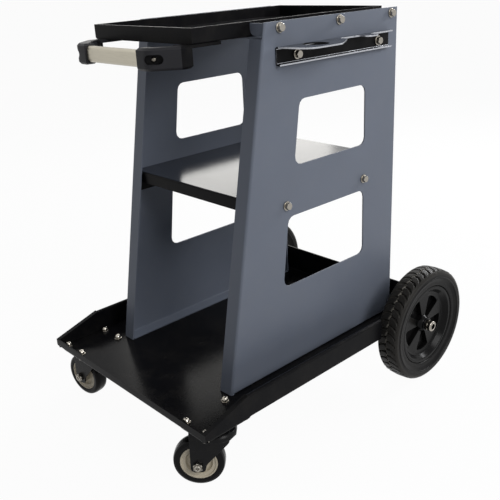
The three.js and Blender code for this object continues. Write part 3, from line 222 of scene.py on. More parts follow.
# %% Plated and drawn metal
def metal(name, colour, roughness, stretch=(1, 1, 1), scale=260.0, spread=0.12):
    material = bpy.data.materials.new(name)
    material.use_nodes = True
    tree = material.node_tree
    shader = tree.nodes["Principled BSDF"]
    place = step(tree, "ShaderNodeTexCoord").outputs["Object"]
    drawn = step(tree, "ShaderNodeMapping", Vector=place, Scale=stretch).outputs[0]
    cloud = step(tree, "ShaderNodeTexNoise", Vector=drawn, Scale=scale, Detail=4.0).outputs[0]
    dark = tuple(0.72 * c for c in colour[:3]) + (1,)
    tone = step(tree, "ShaderNodeMix", {"data_type": "RGBA"}, i0=cloud, i6=dark, i7=colour).outputs[2]
    tree.links.new(tone, shader.inputs["Base Color"])
    sheen = step(tree, "ShaderNodeMapRange", i0=cloud, i1=0.25, i2=0.75, i3=roughness - spread / 2,
                 i4=roughness + spread / 2)
    tree.links.new(sheen.outputs[0], shader.inputs["Roughness"])
    bump = step(tree, "ShaderNodeBump", Strength=0.08, Distance=0.0002, Height=cloud)
    tree.links.new(bump.outputs[0], shader.inputs["Normal"])
    shader.inputs["Metallic"].default_value = 1.0
    return material


zinc = metal("zinc_plating", linear(168, 163, 154), 0.2)
# The darker zinc is painted shade: it goes on the screws in the handle's recesses, the hexagons behind the nuts'
# collars and the flats inside the caster bolts' rims.
zinc_with_painted_shade = metal("zinc_with_painted_shade", linear(118, 114, 106), 0.3)
# The next metal is bright and goes on rounded and cut edges that face the light: a painted highlight, not bare steel.
painted_edge_highlight = metal("painted_edge_highlight", linear(188, 190, 196), 0.3)
grip_metal = metal("grip_metal", linear(190, 184, 168), 0.36, stretch=(0.06, 1, 1), scale=900.0)
print("metals:", zinc.name, grip_metal.name)

# %% [markdown]
# ## Rubber and plastic
# Rubber and moulded plastic differ mostly in grain and gloss. Both get a fine grain from noise. The rear tyre
# also gathers pale dust in its tread: the shape tree below stores how deep each point was pressed, and the
# finish reads that value as an attribute, so the dust always lies in the grooves.

# %% Moulded finishes
def moulded(name, colour, roughness, gloss=0.4, grain=700.0, depth=0.1, dust=0.0, dust_from=None):
    material = bpy.data.materials.new(name)
    material.use_nodes = True
    tree = material.node_tree
    shader = tree.nodes["Principled BSDF"]
    place = step(tree, "ShaderNodeTexCoord").outputs["Object"]
    cloud = step(tree, "ShaderNodeTexNoise", Vector=place, Scale=22.0, Detail=5.0, Roughness=0.6).outputs[0]
    dark = tuple(0.82 * c for c in colour[:3]) + (1,)
    light = tuple(1.15 * c for c in colour[:3]) + (1,)
    tone = step(tree, "ShaderNodeMix", {"data_type": "RGBA"}, i0=cloud, i6=dark, i7=light).outputs[2]
    film = step(tree, "ShaderNodeMapRange", i0=cloud, i1=0.35, i2=0.75, i3=0.0, i4=dust).outputs[0]
    if dust_from:
        pressed = step(tree, "ShaderNodeAttribute", {"attribute_name": dust_from}).outputs["Fac"]
        packed = calc(tree, "MULTIPLY", pressed, calc(tree, "MULTIPLY", cloud, 1.2))
        film = calc(tree, "MAXIMUM", film, packed)
    dusty = step(tree, "ShaderNodeMix", {"data_type": "RGBA"}, i0=film, i6=tone, i7=linear(150, 145, 136))
    tree.links.new(dusty.outputs[2], shader.inputs["Base Color"])
    sheen = step(tree, "ShaderNodeMapRange", i0=cloud, i1=0.3, i2=0.75, i3=roughness - 0.06, i4=roughness + 0.08)
    tree.links.new(sheen.outputs[0], shader.inputs["Roughness"])
    fine = step(tree, "ShaderNodeTexNoise", Vector=place, Scale=grain, Detail=2.0).outputs[0]
    bump = step(tree, "ShaderNodeBump", Strength=depth, Distance=0.0004, Height=fine)
    tree.links.new(bump.outputs[0], shader.inputs["Normal"])
    shader.inputs["Specular IOR Level"].default_value = gloss
    return material


tyre_rubber = moulded("tyre_rubber", linear(15, 15, 16), 0.36, 0.075, dust=0.03, dust_from="tread_dust")
caster_rubber = moulded("caster_rubber", linear(13, 13, 14), 0.2, 0.08, depth=0.03, dust=0.02)
hub_plastic = moulded("hub_plastic", linear(9, 9, 10), 0.22, 0.085, depth=0.03, dust=0.01)
handle_plastic = moulded("handle_plastic", linear(38, 38, 41), 0.46, 0.14, grain=1300.0, depth=0.14)
core_plastic = moulded("core_plastic", linear(203, 193, 172), 0.42, 0.3, depth=0.05, dust=0.1)
bush_plastic = moulded("bush_plastic", linear(205, 200, 186), 0.5, 0.4)
print("moulded finishes:", [m.name for m in bpy.data.materials if "rubber" in m.name or "plastic" in m.name])

# %% [markdown]
# ## Making a piece of the cart
# Every finished piece is a plain mesh at the origin that rides on one of the cart's bodies, takes the finish
# it is given, and hides the solids that it replaces. Two helpers do this. The first turns an object with live
# modifiers into a plain mesh; the second hands the piece over.

# %% Finished pieces
def plain_mesh(mesh, *modifiers):
    holder = bpy.data.objects.new("holder", mesh)
    scene.collection.objects.link(holder)
    for kind, options in modifiers:
        modifier = holder.modifiers.new(kind.lower(), kind)
        for name, value in options.items():
            setattr(modifier, name, value)
    bpy.context.view_layer.update()
    ready = holder.evaluated_get(bpy.context.evaluated_depsgraph_get())
    made = bpy.data.meshes.new_from_object(ready)
    bpy.data.objects.remove(holder)
    return made


def piece(name, mesh, finish, slot, body, *stands_for):
    mesh.materials.clear()
    mesh.materials.append(finish)
    made = bpy.data.objects.new(name, mesh)
    scene.collection.objects.link(made)
    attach(made, body)
    if stands_for:
        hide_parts(*stands_for)
    return made


def mesh_from(name, corners, faces, outward=True):
    made = bpy.data.meshes.new(name)
    made.from_pydata([tuple(c) for c in corners], [], faces)
    shape = bmesh.new()
    shape.from_mesh(made)
    bmesh.ops.remove_doubles(shape, verts=shape.verts, dist=1e-6)
    if outward:
        bmesh.ops.recalc_face_normals(shape, faces=shape.faces)
    shape.to_mesh(made)
    shape.free()
    return made


def smooth(mesh, degrees=45):
    mesh.polygons.foreach_set("use_smooth", [True] * len(mesh.polygons))
    mesh.set_sharp_from_angle(angle=math.radians(degrees))
    return mesh


# %% [markdown]
# ## Folded sheet
# A folded sheet has rounded bends and edges broken by the paint. The solids already have the bends, in a few
# flat steps, so a copy is welded, its flat faces are merged, and a narrow bevel rounds every sharp edge. Smooth
# shading with normals weighted by face area keeps the large faces flat while the bends turn softly.

# %% Sheet pieces
def softened(node, edge, steps=2, sharp=52, seam=None):
    source = nodes[node].data
    mesh = bpy.data.meshes.new(node)
    mesh.from_pydata([v.co[:] for v in source.vertices], [], [p.vertices[:] for p in source.polygons])
    shape = bmesh.new()
    shape.from_mesh(mesh)
    bmesh.ops.remove_doubles(shape, verts=shape.verts, dist=2e-6)
    bmesh.ops.dissolve_limit(shape, angle_limit=math.radians(0.6), verts=shape.verts, edges=shape.edges)
    if seam:
        whole = shape.verts[:] + shape.edges[:] + shape.faces[:]
        bmesh.ops.bisect_plane(shape, geom=whole, plane_co=seam[0], plane_no=seam[1])
    shape.to_mesh(mesh)
    shape.free()
    mesh.materials.append(None)
    mesh.materials.append(None)
    bevel = {"width": edge, "segments": steps, "limit_method": "ANGLE", "angle_limit": math.radians(sharp + 6),
             "harden_normals": False, "use_clamp_overlap": True, "material": 1}
    made = plain_mesh(mesh, ("BEVEL", bevel))
    smooth(made, sharp)
    return plain_mesh(made, ("WEIGHTED_NORMAL", {"keep_sharp": True, "weight": 60}))


sheets = [
    ("base_pan", deck_black, "black_paint", 0.5), ("middle_shelf", deck_black, "black_paint", 0.4),
    ("top_tray", deck_black, "black_paint", 0.4), ("torch_holder", deck_black, "black_paint", 0.6),
    ("right_side_panel", panel_grey, "grey_paint", 0.5), ("left_side_panel", panel_grey, "grey_paint", 0.5),
    ("right_top_rail", panel_grey, "grey_paint", 0.4), ("left_top_rail", panel_grey, "grey_paint", 0.4),
    ("right_axle_bracket", fork_black, "black_steel", 0.4), ("left_axle_bracket", fork_black, "black_steel", 0.4),
    ("right_caster_plate", fork_black, "black_steel", 0.5), ("left_caster_plate", fork_black, "black_steel", 0.5),
]
torch_hole = Vector((0.16475, -0.02765))
# Bevel faces above these heights, and the torch holder's cut edges, take the bright edge metal: a painted highlight.
edge_highlight_from = {"torch_holder": 0.0, "right_side_panel": 0.62, "left_side_panel": 0.62, "top_tray": 0.62}
# Upward faces of the shelf and torch holder take the lighter, bluer black, which is a painted reflection. The base
# pan's floor takes a glossier black.
upper_faces = {"middle_shelf": top_black_painted_reflection, "torch_holder": top_black_painted_reflection, "base_pan": floor_black}
for node, finish, slot, edge in sheets:
    form = softened(node, edge * MM)
    broken = [face.material_index == 1 for face in form.polygons]
    made = piece("soft_" + node, form, finish, slot, "chassis", node)
    form.materials.append(painted_edge_highlight)
    form.materials.append(upper_faces.get(node, finish))
    for face, is_edge in zip(form.polygons, broken):
        face.material_index = 0
        heights = [form.vertices[corner].co.z for corner in face.vertices]
        cut = node == "torch_holder" and max(heights) - min(heights) < 2.6 * MM and abs(face.normal.z) < 0.5
        in_hole = (face.center.xy - torch_hole).length < 18 * MM
        if not in_hole and (cut or is_edge and face.center.z > edge_highlight_from.get(node, 9.0)):
            face.material_index = 1
        elif not is_edge and face.normal.z > 0.9 and node in upper_faces:
            face.material_index = 2
    print(made.name, len(made.data.polygons), "faces")

# %% [markdown]
# ## The push handle
# Two moulded arms hold a flat tube. The arms are copied from their solids with a wider rounding, as mouldings
# have. The tube is drawn again: an oval section with many more points than the solid's, run from arm to arm.

# %% Handle
def rounded(points, steps=8):
    outline = []
    for i, (a, b, radius) in enumerate(points):
        corner = Vector((a, b))
        back = (Vector(points[i - 1][:2]) - corner)
        on = (Vector(points[(i + 1) % len(points)][:2]) - corner)
        half = back.angle(on) / 2
        span = min(radius / math.tan(half), back.length * 0.499, on.length * 0.499)
        if span < 1e-7:
            outline.append(corner)
            continue
        centre = corner + (back.normalized() + on.normalized()).normalized() * (span / math.cos(half))
        first = corner + back.normalized() * span - centre
        last = corner + on.normalized() * span - centre
        sweep = math.atan2(first.x * last.y - first.y * last.x, first.dot(last))
        for k in range(steps + 1):
            outline.append(centre + Matrix.Rotation(sweep * k / steps, 2) @ first)
    return outline


def tube_along_x(name, outer, inner, x0, x1):
    count = len(outer)
    corners = [Vector((x, p.x, p.y)) for x in (x0, x1) for ring in (outer, inner) for p in ring]
    faces = []
    for k in range(count):
        n = (k + 1) % count
        faces.append((k, n, 2 * count + n, 2 * count + k))
        faces.append((count + k, 3 * count + k, 3 * count + n, count + n))
        faces.append((k, count + k, count + n, n))
        faces.append((2 * count + k, 2 * count + n, 3 * count + n, 3 * count + k))
    return mesh_from(name, corners, faces)


low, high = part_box("handle_grip")
oval = lambda gap: rounded([(low.y + gap, low.z + gap, 5.9 * MM - gap), (high.y - gap, low.z + gap, 5.9 * MM - gap),
                            (high.y - gap, high.z - gap, 5.9 * MM - gap), (low.y + gap, high.z - gap, 5.9 * MM - gap)])
grip = smooth(tube_along_x("grip", oval(0.0), oval(1.5 * MM), low.x, high.x))
piece("grip_tube", grip, grip_metal, "grip_metal", "chassis", "handle_grip")
arms = {}
for side, sign in SIDES:
    towards_tray = Vector((sign * 0.6345, 0.7725, 0))
    arm = softened(side + "_handle_bracket", 1.2 * MM, 3, 40, (towards_tray * -94.3 * MM, towards_tray))
    arms[side] = arm
    piece(side + "_handle_arm", arm, handle_plastic, "handle_plastic", "chassis", side + "_handle_bracket")
    print(side, "arm:", len(arm.polygons), "faces")

# %% [markdown]
# ## Turned parts
# Wheels, hubs, tyres, races and washers are turned: one profile swept round an axis. A screw modifier could do
# it, but a short function keeps the seam closed and lets the axis lie in any direction, as the casters need.

# %% Turning
def turned(name, profile, centre, axis, steps):
    axis = Vector(axis).normalized()
    first = axis.cross(Vector((0, 0, 1))) if abs(axis.z) < 0.9 else Vector((1, 0, 0))
    first.normalize()
    second = axis.cross(first)
    centre = Vector(centre)
    count = len(profile)
    corners, faces = [], []
    for k in range(steps):
        angle = 2 * math.pi * k / steps
        out = first * math.cos(angle) + second * math.sin(angle)
        corners += [centre + axis * along + out * radius for along, radius in profile]
        n = (k + 1) % steps
        for i in range(count):
            j = (i + 1) % count
            faces.append((k * count + i, k * count + j, n * count + j, n * count + i))
    return mesh_from(name, corners, faces)


def profile(*points, steps=4):
    return [(p.x * MM, p.y * MM) for p in rounded([(a, r, c) for a, r, c in points], steps)]


print("a washer has", len(turned("test", profile((0, 7, 0), (0, 14, 0.5), (2, 14, 0.5), (2, 7, 0)),
                                 (0, 0, 0), (1, 0, 0), 48).polygons), "faces")

# %% [markdown]
# ## The rear tyres
# The tyre is a plain turned form with ring lines on its sidewalls, and a tread pressed into it. The tread
# repeats by a rule: a zigzag groove runs round the middle, curved cuts part the lugs on each side, and a short
# slot makes each lug a U. Modelling one lug and copying it would leave seams, so a geometry tree measures each
# point's angle and distance from the middle, works out how deep it is pressed, and moves it towards the axle.

# %% Tyre profile
def dense(points, gap):
    filled = []
    for (a0, r0), (a1, r1) in zip(points, points[1:] + points[:1]):
        parts = max(1, math.ceil(math.hypot(a1 - a0, r1 - r0) / gap)) if min(r0, r1) > 0.092 else 1
        filled += [(a0 + (a1 - a0) * k / parts, r0 + (r1 - r0) * k / parts) for k in range(parts)]
    return filled


tyre_side = [
    (13.2, 70.3, 0.4), (16.6, 71.8, 1.2), (16.9, 78.5, 6.0), (19.0, 84.0, 0.8), (20.4, 85.0, 0.4),
    (20.5, 86.8, 0.4), (19.5, 87.8, 0.8), (19.9, 94.0, 4.5), (16.4, 98.8, 4.5),
]
tyre_profile = tyre_side + [(0.0, 100.0, 20.0)] + [(-a, r, c) for a, r, c in reversed(tyre_side)]
tyre_rings = dense(profile(*tyre_profile, steps=3), 0.8 * MM)
print("tyre profile:", len(tyre_rings), "points")

# %% Tread tree
def shape_tree(name, *sizes):
    tree = bpy.data.node_groups.new(name, "GeometryNodeTree")
    tree.interface.new_socket("Geometry", in_out="INPUT", socket_type="NodeSocketGeometry")
    tree.interface.new_socket("Geometry", in_out="OUTPUT", socket_type="NodeSocketGeometry")
    for label, kind in sizes:
        tree.interface.new_socket(label, in_out="INPUT", socket_type=kind)
    return tree, step(tree, "NodeGroupInput").outputs


def soft_edge(tree, distance, half, blur):
    near = calc(tree, "SUBTRACT", half, blur)
    far = calc(tree, "ADD", half, blur)
    return step(tree, "ShaderNodeMapRange", {"interpolation_type": "SMOOTHSTEP"}, i0=distance, i1=near, i2=far,
                i3=1.0, i4=0.0).outputs[0]


tread, given = shape_tree("pressed_tread", ("Lugs", "NodeSocketInt"), ("Depth", "NodeSocketFloat"),
                          ("Groove", "NodeSocketFloat"), ("Zigzag", "NodeSocketFloat"), ("Reach", "NodeSocketFloat"),
                          ("Centre", "NodeSocketVector"), ("Finish", "NodeSocketMaterial"))
point = step(tread, "GeometryNodeInputPosition").outputs[0]
from_axle = step(tread, "ShaderNodeVectorMath", {"operation": "SUBTRACT"}, i0=point, i1=given["Centre"]).outputs[0]
across, along, up = step(tread, "ShaderNodeSeparateXYZ", i0=from_axle).outputs
turns = calc(tread, "DIVIDE", calc(tread, "MULTIPLY", calc(tread, "ARCTAN2", along, up), given["Lugs"]), 2 * math.pi)
pitch = calc(tread, "DIVIDE", 2 * math.pi * 0.1, given["Lugs"])
wave = calc(tread, "MULTIPLY", calc(tread, "SUBTRACT", calc(tread, "PINGPONG", turns, 0.5), 0.25), 4.0)
middle_line = calc(tread, "ABSOLUTE", calc(tread, "SUBTRACT", across, calc(tread, "MULTIPLY", wave, given["Zigzag"])))
half_groove = calc(tread, "DIVIDE", given["Groove"], 2.0)
centre_groove = soft_edge(tread, middle_line, 0.0009, 0.0006)
reach_out = calc(tread, "ABSOLUTE", across)
share_out = calc(tread, "DIVIDE", reach_out, given["Reach"])
bend = calc(tread, "MULTIPLY", calc(tread, "POWER", share_out, 3.0), 0.6)
slope = calc(tread, "MULTIPLY", calc(tread, "POWER", share_out, 2.0), calc(tread, "DIVIDE", pitch, given["Reach"]))
stretch = calc(tread, "SQRT", calc(tread, "ADD", 1.0, calc(tread, "POWER", calc(tread, "MULTIPLY", slope, 1.8), 2.0)))
phase = calc(tread, "ADD", turns, calc(tread, "ADD", calc(tread, "MULTIPLY", calc(tread, "SIGN", across), 0.25), bend))
from_cut = calc(tread, "MULTIPLY", calc(tread, "ABSOLUTE", calc(tread, "SUBTRACT", calc(tread, "FRACT", phase), 0.5)),
                pitch)
cuts = soft_edge(tread, calc(tread, "DIVIDE", from_cut, stretch), half_groove, 0.0006)
pattern = calc(tread, "MAXIMUM", calc(tread, "MULTIPLY", centre_groove, 0.6), cuts)
spoke = step(tread, "ShaderNodeCombineXYZ", i1=along, i2=up).outputs[0]
radius = step(tread, "ShaderNodeVectorMath", {"operation": "LENGTH"}, i0=spoke).outputs["Value"]
on_crown = calc(tread, "SUBTRACT", 1.0, soft_edge(tread, radius, 0.092, 0.0008))
on_tread = calc(tread, "MULTIPLY", on_crown, soft_edge(tread, reach_out, given["Reach"], 0.0006))
pressed = calc(tread, "MULTIPLY", pattern, on_tread)
dusty = calc(tread, "MULTIPLY", calc(tread, "MAXIMUM", centre_groove, calc(tread, "MULTIPLY", cuts, 0.3)), on_tread)
dusty = calc(tread, "MAXIMUM", dusty, calc(tread, "MULTIPLY", on_crown, 0.1))
inwards = step(tread, "ShaderNodeVectorMath", {"operation": "NORMALIZE"}, i0=spoke).outputs[0]
move = calc(tread, "MULTIPLY", calc(tread, "MULTIPLY", pressed, given["Depth"]), -1.0)
offset = step(tread, "ShaderNodeVectorMath", {"operation": "SCALE"}, i0=inwards, Scale=move).outputs[0]
kept = step(tread, "GeometryNodeStoreNamedAttribute", {"data_type": "FLOAT", "domain": "POINT"},
            Geometry=given["Geometry"], Name="tread_dust", Value=dusty)
moved = step(tread, "GeometryNodeSetPosition", Geometry=kept.outputs[0], Offset=offset)
finished = step(tread, "GeometryNodeSetMaterial", Geometry=moved.outputs[0], Material=given["Finish"])
step(tread, "NodeGroupOutput", Geometry=finished.outputs[0])
print("tread tree:", len(tread.nodes), "nodes")

# %% Tyres
def shaped_by(tree, mesh, **sizes):
    holder = bpy.data.objects.new("holder", mesh)
    scene.collection.objects.link(holder)
    modifier = holder.modifiers.new("shape", "NODES")
    modifier.node_group = tree
    for item in tree.interface.items_tree:
        if item.in_out == "INPUT" and item.name in sizes:
            modifier[item.identifier] = sizes[item.name]
    bpy.context.view_layer.update()
    ready = holder.evaluated_get(bpy.context.evaluated_depsgraph_get())
    made = bpy.data.meshes.new_from_object(ready)
    bpy.data.objects.remove(holder)
    return made


LUGS = 44
for side, sign in SIDES:
    wheel = Vector(joints[side + "_wheel_spin"]["pos_m"])
    plain = turned(side + "_tyre", tyre_rings, wheel, (1, 0, 0), LUGS * 17)
    made = shaped_by(tread, plain, Lugs=LUGS, Depth=3.4 * MM, Groove=2.6 * MM, Zigzag=1.1 * MM, Reach=16.6 * MM, Centre=wheel,
                     Finish=tyre_rubber)
    piece(side + "_treaded_tyre", smooth(made, 55), tyre_rubber, "tyre", side + "_wheel", side + "_wheel_tyre")
    print(side, "tyre:", len(made.polygons), "faces")

# %% [markdown]
# ## The rear hubs
# The hub is one moulding: a rim that flares towards the tyre, a sunken disc with five spokes, and a boss. The
# turned form comes first. A geometry tree then sets one pocket, rounded at its corners, five times round the
# axle and cuts all five out, which leaves the spokes. A narrow bevel breaks the cut edges, as a mould does.

# %% Pocket tree
pockets, given = shape_tree("spoke_pockets", ("Pocket", "NodeSocketObject"), ("Count", "NodeSocketInt"),
                            ("Centre", "NodeSocketVector"), ("Finish", "NodeSocketMaterial"))
cutter = step(pockets, "GeometryNodeObjectInfo", {"transform_space": "ORIGINAL"}, Object=given["Pocket"])
spots = step(pockets, "GeometryNodePoints", Count=given["Count"], Position=given["Centre"])
number = step(pockets, "GeometryNodeInputIndex").outputs[0]
angle = calc(pockets, "DIVIDE", calc(pockets, "MULTIPLY", number, 2 * math.pi), given["Count"])
spin = step(pockets, "ShaderNodeCombineXYZ", i0=angle).outputs[0]
turned_to = step(pockets, "FunctionNodeEulerToRotation", i0=spin).outputs[0]
copies = step(pockets, "GeometryNodeInstanceOnPoints", Points=spots.outputs[0],
              Instance=cutter.outputs["Geometry"], Rotation=turned_to)
real = step(pockets, "GeometryNodeRealizeInstances", Geometry=copies.outputs[0])
carved = step(pockets, "GeometryNodeMeshBoolean", {"operation": "DIFFERENCE", "solver": "EXACT"},
              i0=given["Geometry"], i1=real.outputs[0])
finished = step(pockets, "GeometryNodeSetMaterial", Geometry=carved.outputs[0], Material=given["Finish"])
step(pockets, "NodeGroupOutput", Geometry=finished.outputs[0])
print("pocket tree:", len(pockets.nodes), "nodes")

# %% Hubs
def prism_along_x(name, outline, x0, x1):
    count = len(outline)
    corners = [Vector((x, p.x, p.y)) for x in (x0, x1) for p in outline]
    faces = [tuple(range(count)), tuple(range(count, 2 * count))]
    faces += [(k, (k + 1) % count, count + (k + 1) % count, count + k) for k in range(count)]
    return mesh_from(name, corners, faces)


hub_profile = profile((-28.75, 9.6, 0.5), (-28.75, 13, 1.5), (-7, 13, 3), (-7, 54, 3), (-15, 63, 2),
                      (-15, 70, 0.6), (15, 70, 0.6), (15, 64.4, 2.2), (5.6, 57.6, 5), (5.6, 16, 2.0),
                      (12, 11.5, 1.2), (12, 9.6, 0.4))
for side, sign in SIDES:
    wheel = Vector(joints[side + "_wheel_spin"]["pos_m"])
    body = turned(side + "_hub", [(a * sign, r) for a, r in hub_profile], wheel, (1, 0, 0), 120)
    fan = math.radians(20)
    wedge = [(16, -fan, 1.2), (50.5, -fan, 4.0), (51.8, 0, 30.0), (50.5, fan, 4.0), (16, fan, 1.2)]
    outline = rounded([(r * MM * math.cos(a), r * MM * math.sin(a), c * MM) for r, a, c in wedge], 5)
    turn = Matrix.Rotation(3 * math.pi / 10, 2)
    depth = sorted((sign * -3.5 * MM, sign * 10 * MM))
    mould = bpy.data.objects.new("pocket", prism_along_x("pocket", [turn @ p for p in outline], *depth))
    scene.collection.objects.link(mould)
    cut_hub = shaped_by(pockets, body, Pocket=mould, Count=5, Centre=wheel, Finish=hub_plastic)
    bpy.data.objects.remove(mould)
    bevel = {"width": 0.7 * MM, "segments": 2, "limit_method": "ANGLE", "angle_limit": math.radians(50)}
    hub = smooth(plain_mesh(cut_hub, ("BEVEL", bevel)), 40)
    piece(side + "_spoked_hub", hub, hub_plastic, "hub_plastic", side + "_wheel", side + "_wheel_hub")
    print(side, "hub:", len(hub.polygons), "faces")

# %% [markdown]
# ## Axle, washers and nuts
# The axle's end shows in the middle of each hub as a bright ring with a dark centre, because the bar is drilled
# from its end; the faces inside the hole are painted black, as painted shade. The nut has its corners taken
# off by a chamfer, and the hexagon behind its collar is a darker zinc, as painted shade. Both are small, so a
# turned profile and a six-sided prism with a chamfered ring are enough.

# %% Hexagons
def hexagon(name, bore, flats, x0, x1, chamfer, round_steps=48):
    corner = flats / 2 / math.cos(math.pi / 6)
    rings = []
    for x, trim in ((x0, chamfer), (x0 + 0.58 * chamfer, 0), (x1 - 0.58 * chamfer, 0), (x1, chamfer)):
        ring = []
        for k in range(round_steps):
            angle = 2 * math.pi * (k + 0.5) / round_steps
            near = math.cos(((angle + math.pi / 6) % (math.pi / 3)) - math.pi / 6)
            ring.append((x, min(flats / 2 / near, corner - trim), angle))
        rings.append(ring)
    if bore:
        rings.append([(x1, bore, 2 * math.pi * (k + 0.5) / round_steps) for k in range(round_steps)])
        rings.append([(x0, bore, 2 * math.pi * (k + 0.5) / round_steps) for k in range(round_steps)])
    corners = [Vector((x, r * math.cos(a), r * math.sin(a))) for ring in rings for x, r, a in ring]
    faces = []
    for i in range(len(rings) if bore else len(rings) - 1):
        j = (i + 1) % len(rings)
        for k in range(round_steps):
            n = (k + 1) % round_steps
            faces.append((i * round_steps + k, i * round_steps + n, j * round_steps + n, j * round_steps + k))
    if not bore:
        faces.append(tuple(range(round_steps)))
        faces.append(tuple(range(3 * round_steps, 4 * round_steps)))
    return mesh_from(name, corners, faces)


def joined_mesh(name, *parts):
    joined = bmesh.new()
    for part in parts:
        joined.from_mesh(part)
    mesh = bpy.data.meshes.new(name)
    joined.to_mesh(mesh)
    joined.free()
    return mesh


def placed(mesh, centre, axis):
    turn = Vector((1, 0, 0)).rotation_difference(Vector(axis)).to_matrix().to_4x4()
    mesh.transform(Matrix.Translation(centre) @ turn)
    return mesh


# %% Axle ends
axle_low, axle_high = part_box("rear_axle")
half = axle_high.x / MM
axle_y, axle_z = joints["right_wheel_spin"]["pos_m"][1:]
drilled = 9
bar = profile((drilled - half, 0, 0), (drilled - half, 4.9, 0.3), (-half, 5.0, 0.2), (-half, 5.9, 0.4),
              (half, 5.9, 0.4), (half, 5.0, 0.2), (half - drilled, 4.9, 0.3), (half - drilled, 0, 0))
bar = smooth(turned("axle_bar", bar, (0, axle_y, axle_z), (1, 0, 0), 48), 40)
piece("axle_bar", bar, zinc, "zinc_steel", "chassis", "rear_axle")
# Faces inside the drilled end take the black paint: painted shade in the hole.
bar.materials.append(fork_black)
for face in bar.polygons:
    from_axis = max(math.hypot(bar.vertices[v].co.y - axle_y, bar.vertices[v].co.z - axle_z) for v in face.vertices)
    face.material_index = int(from_axis < 5.05 * MM)
for side, sign in SIDES:
    for word in ("inner", "outer"):
        low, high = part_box(f"{side}_wheel_{word}_washer")
        ring = profile((low.x / MM, 6.25, 0), (low.x / MM, 12, 0.5), (high.x / MM, 12, 0.5), (high.x / MM, 6.25, 0))
        made = smooth(turned(f"{side}_{word}_washer", ring, (0, axle_y, axle_z), (1, 0, 0), 48), 40)
        piece(f"{side}_{word}_round_washer", made, fork_black, "black_steel", "chassis", f"{side}_wheel_{word}_washer")
    low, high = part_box(side + "_wheel_axle_nut")
    outer, inner = (high.x, low.x) if sign > 0 else (low.x, high.x)
    collar_at = outer - sign * 4 * MM
    nut = hexagon(side + "_nut", 6.25 * MM, 18 * MM, *sorted((inner, collar_at)), 1.4 * MM)
    near, far = collar_at / MM, outer / MM + 2.4 * sign
    ring = profile((near, 6.0, 0), (near, 9.3, 0.8), (far, 9.3, 1.8), (far, 6.0, 0.4))
    collar = turned(side + "_collar", ring, (0, 0, 0), (1, 0, 0), 48)
    nut = joined_mesh(side + "_nut", nut, collar)
    nut.transform(Matrix.Translation((0, axle_y, axle_z)))
    piece(side + "_collared_nut", smooth(nut, 30), zinc, "zinc_steel", "chassis", side + "_wheel_axle_nut")
    # The hexagon behind the collar takes the darker zinc: painted shade.
    nut.materials.append(zinc_with_painted_shade)
    for face in nut.polygons:
        face.material_index = int(abs(face.center.x) < abs(collar_at) - 0.1 * MM)
    low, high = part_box(side + "_wheel_bush")
    ring = profile((low.x / MM, 6.16, 0), (low.x / MM, 9.3, 0.3), (high.x / MM, 9.3, 0.3), (high.x / MM, 6.16, 0))
    bush = smooth(turned(side + "_bush", ring, (0, axle_y, axle_z), (1, 0, 0), 48), 40)
    piece(side + "_plain_bush", bush, bush_plastic, "bush_plastic", side + "_wheel", side + "_wheel_bush")
print("axle half length:", round(half, 2), "mm")

# %% [markdown]
# ## The casters
# Each caster is a pressed fork that turns under its plate on a ball race, with an ivory core, a glossy tyre and
# an axle bolt. The fork is softened from its solid, because it is a cut and bent sheet. The rest is turned about
# the axle or the swivel axis, wherever the caster happens to stand.

